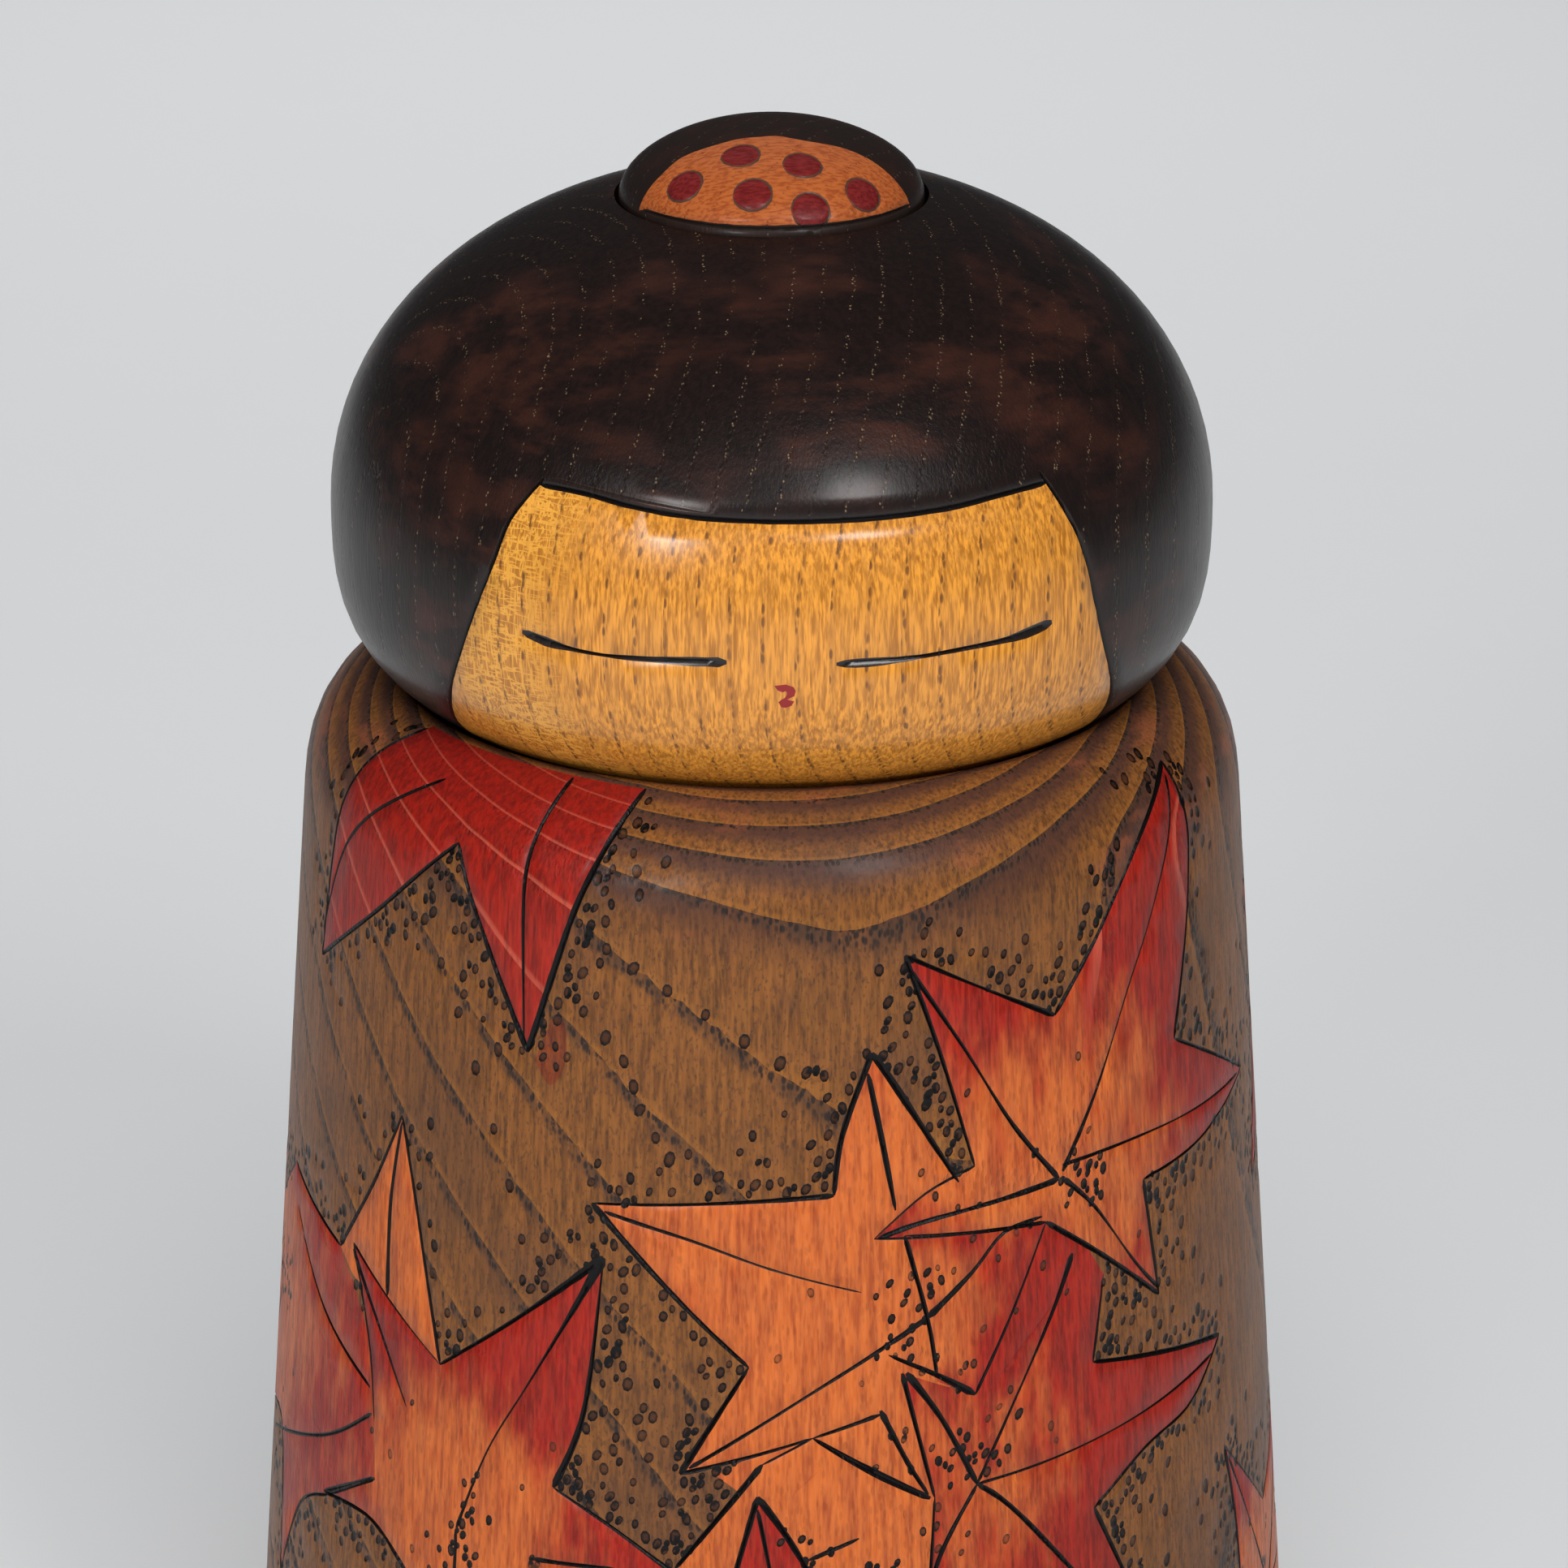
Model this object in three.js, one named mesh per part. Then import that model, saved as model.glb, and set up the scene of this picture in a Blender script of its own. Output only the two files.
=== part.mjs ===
// Kokeshi doll turned from ring-porous hardwood: torso, head on a neck dowel, and a
// topknot set in the crown. Millimetres, +Z up, origin at the middle of the flat foot.
// Every piece is a body of revolution about Z; the carved face looks toward -Y.
import * as THREE from 'three';

// Torso: a straight-sided cone that closes over a round shoulder
const FOOT_RADIUS = 42.3;
const FOOT_CHAMFER = 1.2;
const SHOULDER_RADIUS = 35.05;    // side radius at the height where the shoulder starts
const SHOULDER_START = 99.2;
const SHOULDER_RISE = 13.6;       // height of the shoulder curve above its start
const SHOULDER_POWER = 3.0;       // 2 is an ellipse, higher is squarer

// Head: two half superellipses joined at the equator
const HEAD_RADIUS = 32.5;
const CROWN_RISE = 24.3;
const CROWN_POWER = 2.1;
const CHIN_DROP = 16.7;
const CHIN_POWER = 3.1;

// Seat: the chin rests in a dish turned in the top of the torso
const SEAT_DEPTH = 8.3;           // shoulder summit down to the middle of the dish
const SEAT_GAP = 0.3;
const RIM_EASE = 0.4;             // width taken off the dish rim on each side

// Neck dowel: fixed in the torso, a push fit in the head
const DOWEL_RADIUS = 5;
const DOWEL_IN_TORSO = 16;
const DOWEL_IN_HEAD = 14;
const DOWEL_CHAMFER = 0.8;

// Topknot: a low dome standing in a round recess in the crown
const TOPKNOT_RADIUS = 11.1;
const TOPKNOT_RISE = 5.4;         // dome height above the recess rim
const TOPKNOT_POWER = 1.9;
const TOPKNOT_EASE = 0.5;         // rounding of the dome's lower edge
const RECESS_DEPTH = 1.6;

// Topknot peg: glued in the dome and in the crown
const PEG_RADIUS = 2.5;
const PEG_IN_TOPKNOT = 4;
const PEG_IN_HEAD = 7;
const PEG_CHAMFER = 0.4;

const FIT_GAP = 0.3;              // all round a dowel, a peg and the topknot

const TORSO_STAIN = 0x6f4a2c;
const HAIR_STAIN = 0x241510;
const TOPKNOT_STAIN = 0x2a1812;
const BARE_WOOD = 0xc9a877;
const VARNISHED = 0.42;           // surface roughness
const UNVARNISHED = 0.65;

const ROUND_SEGMENTS = 56;
const DOWEL_SEGMENTS = 32;
const CURVE_STEPS = 12;

const QUARTER = Math.PI / 2;
const HALVINGS = 50;

const point = (radius, height) => new THREE.Vector2(radius, height);

// Where cos and sin of a quarter turn are raised to 2/power the curve is a superellipse.
function superPoint(radius, rise, power, angle) {
  return point(
    radius * Math.cos(angle) ** (2 / power),
    rise * Math.sin(angle) ** (2 / power),
  );
}

// The angle between low and high where a rising function passes through zero.
function crossing(rising, low, high) {
  for (let i = 0; i < HALVINGS; i += 1) {
    const middle = (low + high) / 2;
    if (rising(middle) < 0) low = middle;
    else high = middle;
  }
  return (low + high) / 2;
}

function curve(pointAt, from, to) {
  const points = [];
  for (let i = 0; i <= CURVE_STEPS; i += 1) {
    points.push(pointAt(from + ((to - from) * i) / CURVE_STEPS));
  }
  return points;
}

// Heights that follow from the driving sizes
const DISH_FLOOR = SHOULDER_START + SHOULDER_RISE - SEAT_DEPTH;
const CHIN_HEIGHT = DISH_FLOOR + SEAT_GAP;
const EQUATOR_HEIGHT = CHIN_HEIGHT + CHIN_DROP;

const sideTaper = (FOOT_RADIUS - SHOULDER_RADIUS) / SHOULDER_START;
const sideRadius = (height) => FOOT_RADIUS - sideTaper * height;

function shoulderPoint(angle) {
  const share = superPoint(1, SHOULDER_RISE, SHOULDER_POWER, angle);
  const height = SHOULDER_START + share.y;
  return point(sideRadius(height) * share.x, height);
}

function chinPoint(angle) {
  const p = superPoint(HEAD_RADIUS, CHIN_DROP, CHIN_POWER, angle);
  return point(p.x, EQUATOR_HEIGHT - p.y);
}

function crownPoint(angle) {
  const p = superPoint(HEAD_RADIUS, CROWN_RISE, CROWN_POWER, angle);
  return point(p.x, EQUATOR_HEIGHT + p.y);
}

// The dish keeps SEAT_GAP from the chin, square to the chin's surface.
function dishPoint(angle) {
  const p = superPoint(HEAD_RADIUS, CHIN_DROP, CHIN_POWER, angle);
  const normal = point(
    (p.x / HEAD_RADIUS) ** (CHIN_POWER - 1) / HEAD_RADIUS,
    (p.y / CHIN_DROP) ** (CHIN_POWER - 1) / CHIN_DROP,
  ).normalize();
  return point(p.x + SEAT_GAP * normal.x, EQUATOR_HEIGHT - p.y - SEAT_GAP * normal.y);
}

const angleAtRadius = (pointAt, radius) => (
  crossing((angle) => radius - pointAt(angle).x, 0, QUARTER)
);

// Radius of the circle where the dish breaks through the shoulder
function rimRadius() {
  const above = (angle) => {
    const dish = dishPoint(angle);
    const shoulder = shoulderPoint(angleAtRadius(shoulderPoint, dish.x));
    return shoulder.y - dish.y;
  };
  const widest = angleAtRadius(dishPoint, SHOULDER_RADIUS);
  return dishPoint(crossing(above, widest, QUARTER)).x;
}

// Turns a profile, which runs from axis to axis, about Z.
function turned(name, profile, segments, colour, roughness) {
  const geometry = new THREE.LatheGeometry(profile, segments);
  geometry.rotateX(QUARTER);
  const material = new THREE.MeshStandardMaterial({ color: colour, roughness, metalness: 0 });
  const mesh = new THREE.Mesh(geometry, material);
  mesh.name = name;
  return mesh;
}

function rod(name, radius, bottom, top, chamfer) {
  const profile = [
    point(0, bottom),
    point(radius - chamfer, bottom),
    point(radius, bottom + chamfer),
    point(radius, top - chamfer),
    point(radius - chamfer, top),
    point(0, top),
  ];
  return turned(name, profile, DOWEL_SEGMENTS, BARE_WOOD, UNVARNISHED);
}

const dowelBoreRadius = DOWEL_RADIUS + FIT_GAP;
const pegBoreRadius = PEG_RADIUS + FIT_GAP;
const torsoBoreBottom = DISH_FLOOR - DOWEL_IN_TORSO;
const headBoreTop = CHIN_HEIGHT + DOWEL_IN_HEAD;

const recessRadius = TOPKNOT_RADIUS + FIT_GAP;
const recessRimAngle = angleAtRadius(crownPoint, recessRadius);
const recessRim = crownPoint(recessRimAngle).y;
const recessFloor = recessRim - RECESS_DEPTH;
const topknotBase = recessFloor + FIT_GAP;
const pegBoreBottom = recessFloor - PEG_IN_HEAD;
const topknotBoreTop = topknotBase + PEG_IN_TOPKNOT;

function makeTorso() {
  const rim = rimRadius();
  const shoulderEnd = angleAtRadius(shoulderPoint, rim + RIM_EASE);
  const dishStart = angleAtRadius(dishPoint, rim - RIM_EASE);
  const dishEnd = angleAtRadius(dishPoint, dowelBoreRadius);
  const profile = [
    point(0, 0),
    point(sideRadius(0) - FOOT_CHAMFER, 0),
    point(sideRadius(FOOT_CHAMFER), FOOT_CHAMFER),
    ...curve(shoulderPoint, 0, shoulderEnd),
    ...curve(dishPoint, dishStart, dishEnd),
    point(dowelBoreRadius, torsoBoreBottom),
    point(0, torsoBoreBottom),
  ];
  return turned('body', profile, ROUND_SEGMENTS, TORSO_STAIN, VARNISHED);
}

function makeHead() {
  const chinStart = angleAtRadius(chinPoint, dowelBoreRadius);
  const profile = [
    point(0, headBoreTop),
    point(dowelBoreRadius, headBoreTop),
    ...curve(chinPoint, chinStart, 0),
    ...curve(crownPoint, 0, recessRimAngle).slice(1),
    point(recessRadius, recessFloor),
    point(pegBoreRadius, recessFloor),
    point(pegBoreRadius, pegBoreBottom),
    point(0, pegBoreBottom),
  ];
  return turned('head', profile, ROUND_SEGMENTS, HAIR_STAIN, VARNISHED);
}

function makeTopknot() {
  const domePoint = (angle) => {
    const p = superPoint(TOPKNOT_RADIUS, TOPKNOT_RISE, TOPKNOT_POWER, angle);
    return point(p.x, recessRim + p.y);
  };
  const profile = [
    point(0, topknotBoreTop),
    point(pegBoreRadius, topknotBoreTop),
    point(pegBoreRadius, topknotBase),
    point(TOPKNOT_RADIUS - TOPKNOT_EASE, topknotBase),
    point(TOPKNOT_RADIUS, topknotBase + TOPKNOT_EASE),
    ...curve(domePoint, 0, QUARTER),
  ];
  return turned('topknot', profile, ROUND_SEGMENTS, TOPKNOT_STAIN, VARNISHED);
}

function makeNeckDowel() {
  const bottom = torsoBoreBottom + FIT_GAP;
  return rod('neck_dowel', DOWEL_RADIUS, bottom, headBoreTop - FIT_GAP, DOWEL_CHAMFER);
}

function makeTopknotPeg() {
  const bottom = pegBoreBottom + FIT_GAP;
  return rod('topknot_peg', PEG_RADIUS, bottom, topknotBoreTop - FIT_GAP, PEG_CHAMFER);
}

const doll = new THREE.Group();
doll.add(makeTorso(), makeNeckDowel(), makeHead(), makeTopknot(), makeTopknotPeg());

export default doll;
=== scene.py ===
"""Kokeshi doll: the turned blanks, the burnt drawing cut into them, and their finishes."""

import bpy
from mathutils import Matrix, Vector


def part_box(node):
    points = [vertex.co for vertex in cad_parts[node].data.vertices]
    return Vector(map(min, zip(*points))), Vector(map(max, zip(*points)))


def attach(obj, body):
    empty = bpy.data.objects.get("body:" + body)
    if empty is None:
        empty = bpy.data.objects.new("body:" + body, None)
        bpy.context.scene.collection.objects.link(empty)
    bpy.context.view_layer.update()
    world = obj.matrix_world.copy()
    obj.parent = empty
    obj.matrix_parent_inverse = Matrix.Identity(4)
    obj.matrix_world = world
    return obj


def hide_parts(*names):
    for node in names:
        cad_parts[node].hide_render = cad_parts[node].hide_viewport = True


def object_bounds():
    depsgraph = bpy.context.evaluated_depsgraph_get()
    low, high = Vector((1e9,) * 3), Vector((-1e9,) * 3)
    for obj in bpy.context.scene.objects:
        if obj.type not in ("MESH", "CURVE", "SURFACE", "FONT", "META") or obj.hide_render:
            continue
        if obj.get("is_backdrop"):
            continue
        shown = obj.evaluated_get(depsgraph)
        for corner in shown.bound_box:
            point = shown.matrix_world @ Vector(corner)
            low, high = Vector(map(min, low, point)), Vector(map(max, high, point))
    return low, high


bl_info = {
    "name": "Kokeshi Doll",
    "version": (1, 0, 0),
    "blender": (4, 5, 0),
    "location": "3D Viewport > Sidebar > Kokeshi",
    "description": "Turned wooden doll with burnt outlines and stained maple leaves",
    "category": "Object",
}

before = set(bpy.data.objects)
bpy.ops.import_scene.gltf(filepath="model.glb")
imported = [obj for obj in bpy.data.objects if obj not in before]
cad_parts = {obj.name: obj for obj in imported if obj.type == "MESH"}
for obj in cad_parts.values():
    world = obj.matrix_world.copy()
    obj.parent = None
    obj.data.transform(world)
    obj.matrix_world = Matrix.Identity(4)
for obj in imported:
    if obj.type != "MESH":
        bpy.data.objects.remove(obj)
cad_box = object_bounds()

import math
import random

import bmesh
import bpy
import numpy as np
from bpy.props import FloatProperty, FloatVectorProperty, IntProperty, PointerProperty
from mathutils import Vector, geometry, kdtree

MM = 0.001
RIM_POINTS = 200          # vertices round the open edge of a drawn skin
SKIN_STEP = 1.7           # mm between plain vertices of a skin
STROKE_STEP = 0.9         # mm between the stations of a burnt stroke
CDT_SLACK = 1e-8          # how close two flat points may lie before they are one
RIM_SLACK = 0.01          # mm that an open edge may lie off its height
SHARP_ANGLE = 55          # degrees between faces that look sharp
OUTLINE_STEPS = 120       # points along a quarter of a turned outline
DISH_STEPS = 60           # points along the dish
SIDE_STEPS = 40           # points up the torso's side
OVAL_POINTS, FLOOR_POINTS = 8, 4    # corners of a burnt dot's edge and of its floor
OVAL_NARROW = 0.8         # width of a burnt dot, as a share of its size
DOT_SPACING = 0.8         # least gap between two dots' middles, as a share of their sizes
CLUSTERS, CLUSTER_DOTS, STRAY_DOTS = 3, 11, 16      # dots about the middle of a leaf
DOT_DENSITY, SPARSE, DENSE = 4.2, 1.5, 7.5          # dots per mm of a leaf's edge
CLEAR_EDGE = 0.15         # mm that strokes keep from a skin's open edges
FLOOR_SIZE, CLIP_START = 4, 0.01     # m
SENSOR_WIDTH = 36         # mm


# ---------------------------------------------------------------- turned surfaces

def power_curve(radius, rise, power, share):
    """A point of a quarter superellipse, for a share of the quarter from side to top."""
    angle = share * math.pi / 2
    return (
        radius * abs(math.cos(angle)) ** (2 / power),
        rise * math.sin(angle) ** (2 / power),
    )


def quarter(radius, rise, power, steps=OUTLINE_STEPS):
    """The points of a quarter superellipse from side to top."""
    return [power_curve(radius, rise, power, i / steps) for i in range(steps + 1)]


class Turned:
    """A skin turned about Z. A place on it is an angle in degrees, from the front towards
    +X, and an arc, the millimetres along the outline, which starts at the given arc."""

    def __init__(self, outline, start=0.0):
        points = np.array(outline, float)
        steps = np.hypot(*np.diff(points, axis=0).T)
        middles = np.maximum((points[1:, 0] + points[:-1, 0]) / 2, 0.02)
        self.radii, self.heights = points.T
        self.arcs = np.concatenate([[0], np.cumsum(steps)]) + start
        self.spreads = np.concatenate([[0], np.cumsum(steps / middles)])
        slopes = np.gradient(points, self.arcs, axis=0)
        slopes /= np.linalg.norm(slopes, axis=1)[:, None]
        self.normals = np.stack([slopes[:, 1], -slopes[:, 0]], axis=1)
        self.low, self.high = float(self.arcs[0]), float(self.arcs[-1])

    def radius(self, arc):
        return float(np.interp(arc, self.arcs, self.radii))

    def height(self, arc):
        return float(np.interp(arc, self.arcs, self.heights))

    def arc_at(self, height):
        return float(np.interp(height, self.heights, self.arcs))

    def place(self, angle, arc, depth=0.0):
        """The point in space, sunk by depth square to the skin."""
        out = np.interp(arc, self.arcs, self.normals[:, 0])
        up = np.interp(arc, self.arcs, self.normals[:, 1])
        radius = self.radius(arc) - depth * out
        turn = math.radians(angle)
        return Vector((
            radius * math.sin(turn),
            -radius * math.cos(turn),
            self.height(arc) - depth * up,
        ))

    def flat(self, angle, arc):
        """The place on a flat disc that keeps every small shape of the skin."""
        reach = math.exp(-np.interp(arc, self.arcs, self.spreads))
        turn = math.radians(angle)
        return Vector((reach * math.cos(turn), reach * math.sin(turn)))

    def unflat(self, spot):
        spread = -math.log(max(spot.length, 1e-9))
        arc = float(np.interp(spread, self.spreads, self.arcs))
        return math.degrees(math.atan2(spot.y, spot.x)), arc

    def shifted(self, place, across, along):
        """The place moved by millimetres round and up the skin."""
        angle, arc = place
        turn = math.degrees(across / max(self.radius(arc), 0.5))
        return angle + turn, arc + along

    def around(self, centre, away, turn):
        """The place away millimetres from a centre. A turn of 0 is to the right of it."""
        return self.shifted(centre, away * math.cos(turn), away * math.sin(turn))

    def at_heights(self, points):
        """The places at (degrees from the front, height) points."""
        return [(angle, self.arc_at(height)) for angle, height in points]

    def apart(self, a, b):
        """Millimetres from place a to place b, round and up the skin."""
        radius = self.radius((a[1] + b[1]) / 2)
        return math.radians(b[0] - a[0]) * radius, b[1] - a[1]


def curve_through(surface, places, step=STROKE_STEP):
    """Even stations on a smooth curve through two or more places."""
    found = []
    spans = len(places) - 1
    for i in range(spans):
        before = places[max(i - 1, 0)]
        start, end = places[i], places[i + 1]
        after = places[min(i + 2, spans)]
        count = max(1, math.ceil(math.hypot(*surface.apart(start, end)) / step))
        for k in range(count):
            t = k / count
            found.append(tuple(
                0.5 * (
                    2 * b + (c - a) * t
                    + (2 * a - 5 * b + 4 * c - d) * t ** 2
                    + (3 * b - a - 3 * c + d) * t ** 3
                )
                for a, b, c, d in zip(before, start, end, after)
            ))
    return found + [tuple(places[-1])]


class Area:
    """A closed loop of places on a skin."""

    def __init__(self, loop):
        self.loop = loop
        self.low, self.high = (
            [pick(place[i] for place in loop) for i in (0, 1)] for pick in (min, max)
        )

    def holds(self, place):
        """Whether it encloses a place, whichever turn the place's angle is counted in."""
        for turn in (-360, 0, 360):
            x, y = place[0] + turn, place[1]
            if not (self.low[0] < x < self.high[0] and self.low[1] < y < self.high[1]):
                continue
            crossed = False
            for (ax, ay), (bx, by) in zip(self.loop, self.loop[1:] + self.loop[:1]):
                if (ay > y) != (by > y) and x < ax + (y - ay) * (bx - ax) / (by - ay):
                    crossed = not crossed
            if crossed:
                return True
        return False


# ---------------------------------------------------------------- the burnt drawing

class Drawing:
    """Stained areas, burnt strokes and burnt dots on a turned skin."""

    def __init__(self, surface, seed):
        self.surface = surface
        self.random = random.Random(seed)
        self.spots = []
        self.lines = []
        self.loops = []
        self.stains = {}
        self.burns = set()
        self.stations = []
        self.dots = []

    def add_spots(self, places):
        first = len(self.spots)
        self.spots += [self.surface.flat(*p) for p in places]
        return list(range(first, len(self.spots)))

    def add_loop(self, places):
        """Adds a closed loop, turned the way the triangulation reads as inside."""
        corners = self.add_spots(places)
        flat = [self.spots[i] for i in corners]
        area = sum(a.x * b.y - b.x * a.y for a, b in zip(flat, flat[1:] + flat[:1]))
        self.loops.append(corners if area > 0 else corners[::-1])
        return len(self.loops) - 1

    def stain(self, loop, tone, strength=1.0):
        """Fills a loop of places. tone is the share of red, or gives it for a place."""
        self.stains[self.add_loop(loop)] = tone, strength

    def stroke(self, places, widths, dark=None, depth=0.2):
        """Burns a stroke whose width runs through the given widths. Thin parts are paler."""
        surface = self.surface
        path = curve_through(surface, places)
        path = [p for p in path if surface.low + CLEAR_EDGE < p[1] < surface.high - CLEAR_EDGE]
        if len(path) < 2:
            return
        left, right, kept = [], [], []
        last = len(path) - 1
        knots = [i / (len(widths) - 1) for i in range(len(widths))]
        for i, place in enumerate(path):
            ahead = surface.apart(path[max(i - 1, 0)], path[min(i + 1, last)])
            size = max(math.hypot(*ahead), 1e-6)
            across, along = -ahead[1] / size, ahead[0] / size
            width = float(np.interp(i / last, knots, widths))
            half = width / 2 * (1 + 0.2 * (self.random.random() - 0.5))
            shade = min(1, 0.5 + 1.4 * width) if dark is None else dark
            sink = depth * min(1, width * 3)
            if i in (0, last):
                half, sink = half * 0.4, 0
            left.append(surface.shifted(place, across * half, along * half))
            right.append(surface.shifted(place, -across * half, -along * half))
            kept.append((surface.place(*place), half, sink, shade))
        self.burns.add(self.add_loop(left + right[::-1]))
        middle = self.add_spots(path)
        self.lines += zip(middle, middle[1:])
        first = len(self.stations)
        for i, (spot, half, sink, shade) in enumerate(kept):
            follows = first + i + 1 if i < last else None
            self.stations.append((spot, half, sink, shade, follows))

    def round_places(self, centre, radius, count, last):
        """Places round a centre, the first of count parts of a turn up to the last."""
        return [
            self.surface.around(centre, radius, math.tau * i / count) for i in range(last)
        ]

    def ring(self, centre, radius, width, dark, depth):
        """Burns a closed round stroke."""
        count = max(10, round(math.tau * radius / 0.6))
        places = self.round_places(centre, radius, count, count + 1)
        half = len(places) // 2
        self.stroke(places[:half + 1], (width, width * 0.5), dark, depth)
        self.stroke(places[half:], (width * 0.6, width), dark, depth)

    def dot(self, place, size, dark, depth):
        """Burns a small oval dimple, unless it would run into another or off the skin."""
        surface = self.surface
        if not surface.low + size < place[1] < surface.high - size:
            return
        spot = surface.place(*place)
        for other, reach in self.dots:
            if (other - spot).length < DOT_SPACING * (reach + size):
                return
        tilt = math.radians(self.random.uniform(-40, 10))
        long, short = size * self.random.uniform(1.05, 1.3), size * OVAL_NARROW

        def oval(scale, count):
            for i in range(count):
                turn = math.tau * (i + 0.5) / count
                a, b = short * scale * math.cos(turn), long * scale * math.sin(turn)
                yield surface.shifted(
                    place,
                    a * math.cos(tilt) - b * math.sin(tilt),
                    a * math.sin(tilt) + b * math.cos(tilt),
                )

        self.burns.add(self.add_loop(list(oval(1, OVAL_POINTS))))
        floor = self.add_spots(oval(0.5, FLOOR_POINTS))
        self.lines += zip(floor, floor[1:] + floor[:1])
        self.dots.append((spot, size))
        self.stations.append((spot, size * 1.35, depth, dark, None))

    def touch(self, finder, spot, reach):
        """How deep and how dark the burning is at a point of the skin."""
        depth, burn = 0.0, 0.0
        for _, index, gap in finder.find_range(spot, reach):
            centre, half, sink, shade, follows = self.stations[index]
            if follows is not None:
                other, other_half, other_sink, other_shade, _ = self.stations[follows]
                run = other - centre
                share = (spot - centre).dot(run) / max(run.length_squared, 1e-9)
                share = min(max(share, 0), 1)
                gap = (spot - centre - run * share).length
                half += (other_half - half) * share
                sink += (other_sink - sink) * share
                shade += (other_shade - shade) * share
            closeness = 1 - gap / half
            if closeness > -0.25:
                closeness = max(closeness, 0)
                depth = max(depth, sink * closeness)
                if follows is None:
                    burn = max(burn, shade * min(1, 1.3 - 1.15 * closeness))
                else:
                    burn = max(burn, shade * (0.8 + 0.2 * closeness))
        return depth, burn


def rings_of_places(surface, finder, step):
    """Evenly spread places over a skin, except where the drawing has points of its own."""
    rows = math.ceil((surface.high - surface.low) / step)
    for row in range(1, rows):
        arc = surface.low + (surface.high - surface.low) * row / rows
        count = max(6, round(math.tau * surface.radius(arc) / step))
        for i in range(count):
            place = ((i + 0.5 * (row % 2)) * 360 / count, arc)
            if finder.find(surface.place(*place))[2] > 0.4 * step:
                yield place


def drawn_skin(surface, drawing, step=SKIN_STEP, top_open=True):
    """Triangulates a skin so that the drawing's strokes and dots have edges of their own,
    and sinks them. Corner colours hold stain, red and burn."""
    finder = kdtree.KDTree(len(drawing.stations))
    for index, station in enumerate(drawing.stations):
        finder.insert(station[0], index)
    finder.balance()

    for arc in (surface.low, surface.high) if top_open else (surface.low,):
        ring = drawing.add_spots((i * 360 / RIM_POINTS, arc) for i in range(RIM_POINTS))
        drawing.lines += zip(ring, ring[1:] + ring[:1])
    drawing.add_spots(rings_of_places(surface, finder, step))
    if not top_open:
        drawing.spots.append(Vector((0.0, 0.0)))

    spots, _, triangles, _, _, sources = geometry.delaunay_2d_cdt(
        drawing.spots, drawing.lines, drawing.loops, 0, CDT_SLACK, True
    )
    bm = bmesh.new()
    paint = bm.loops.layers.float_color.new("paint")
    places, burns = [], []
    reach = STROKE_STEP + 0.2
    for spot in spots:
        angle, arc = surface.unflat(spot)
        level = surface.place(angle, arc)
        depth, burn = drawing.touch(finder, level, reach)
        bm.verts.new(surface.place(angle, arc, depth))
        places.append((angle, arc))
        burns.append(burn)
    bm.verts.ensure_lookup_table()
    inner = surface.high - 1e-4
    for corners, loops in zip(triangles, sources):
        if top_open and all(places[i][1] > inner for i in corners):
            continue
        face = bm.faces.new([bm.verts[i] for i in corners])
        face.smooth = True
        stain = max((i for i in loops if i in drawing.stains), default=None)
        burnt = any(i in drawing.burns for i in loops)
        for loop, i in zip(face.loops, corners):
            tone, strength = drawing.stains.get(stain, (0.0, 0.0))
            red = tone(places[i]) if callable(tone) else tone
            loop[paint] = (strength, red, burns[i] if burnt else 0.0, 1.0)
    return bm


def rim_edges(bm, height):
    """The open edges that lie at one height."""
    return [
        e for e in bm.edges
        if e.is_boundary and all(abs(v.co.z - height) < RIM_SLACK for v in e.verts)
    ]


def carry_on(bm, edges, outline):
    """Carries an open ring on through (radius, height) points and closes the last one."""
    for radius, height in outline:
        grown = bmesh.ops.extrude_edge_only(bm, edges=edges)["geom"]
        verts = [g for g in grown if isinstance(g, bmesh.types.BMVert)]
        edges = [g for g in grown if isinstance(g, bmesh.types.BMEdge)]
        old = Vector(verts[0].co)
        scale = radius / old.xy.length
        bmesh.ops.scale(bm, vec=(scale, scale, 1), verts=verts)
        bmesh.ops.translate(bm, vec=(0, 0, height - old.z), verts=verts)
    bmesh.ops.contextual_create(bm, geom=edges)


def finish_piece(bm, name, material, body, nodes):
    """Turns a closed bmesh in millimetres into a piece that rides on a body."""
    bmesh.ops.recalc_face_normals(bm, faces=bm.faces)
    bmesh.ops.scale(bm, vec=(MM, MM, MM), verts=bm.verts)
    mesh = bpy.data.meshes.new(name)
    for face in bm.faces:
        face.smooth = True
    bm.to_mesh(mesh)
    bm.free()
    mesh.set_sharp_from_angle(angle=math.radians(SHARP_ANGLE))
    mesh.materials.append(material)
    piece = bpy.data.objects.new(name, mesh)
    bpy.context.scene.collection.objects.link(piece)
    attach(piece, body)
    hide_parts(*nodes)
    return piece


# ---------------------------------------------------------------- shader tools

def math_method(operation, swapped=False):
    """A method of Value that adds one math node."""
    def method(self, other=None):
        values = (other, self) if swapped else (self, other)
        node = self.finish.node("ShaderNodeMath", {"operation": operation}, values)
        return Value(self.finish, node.outputs[0])
    return method


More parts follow.
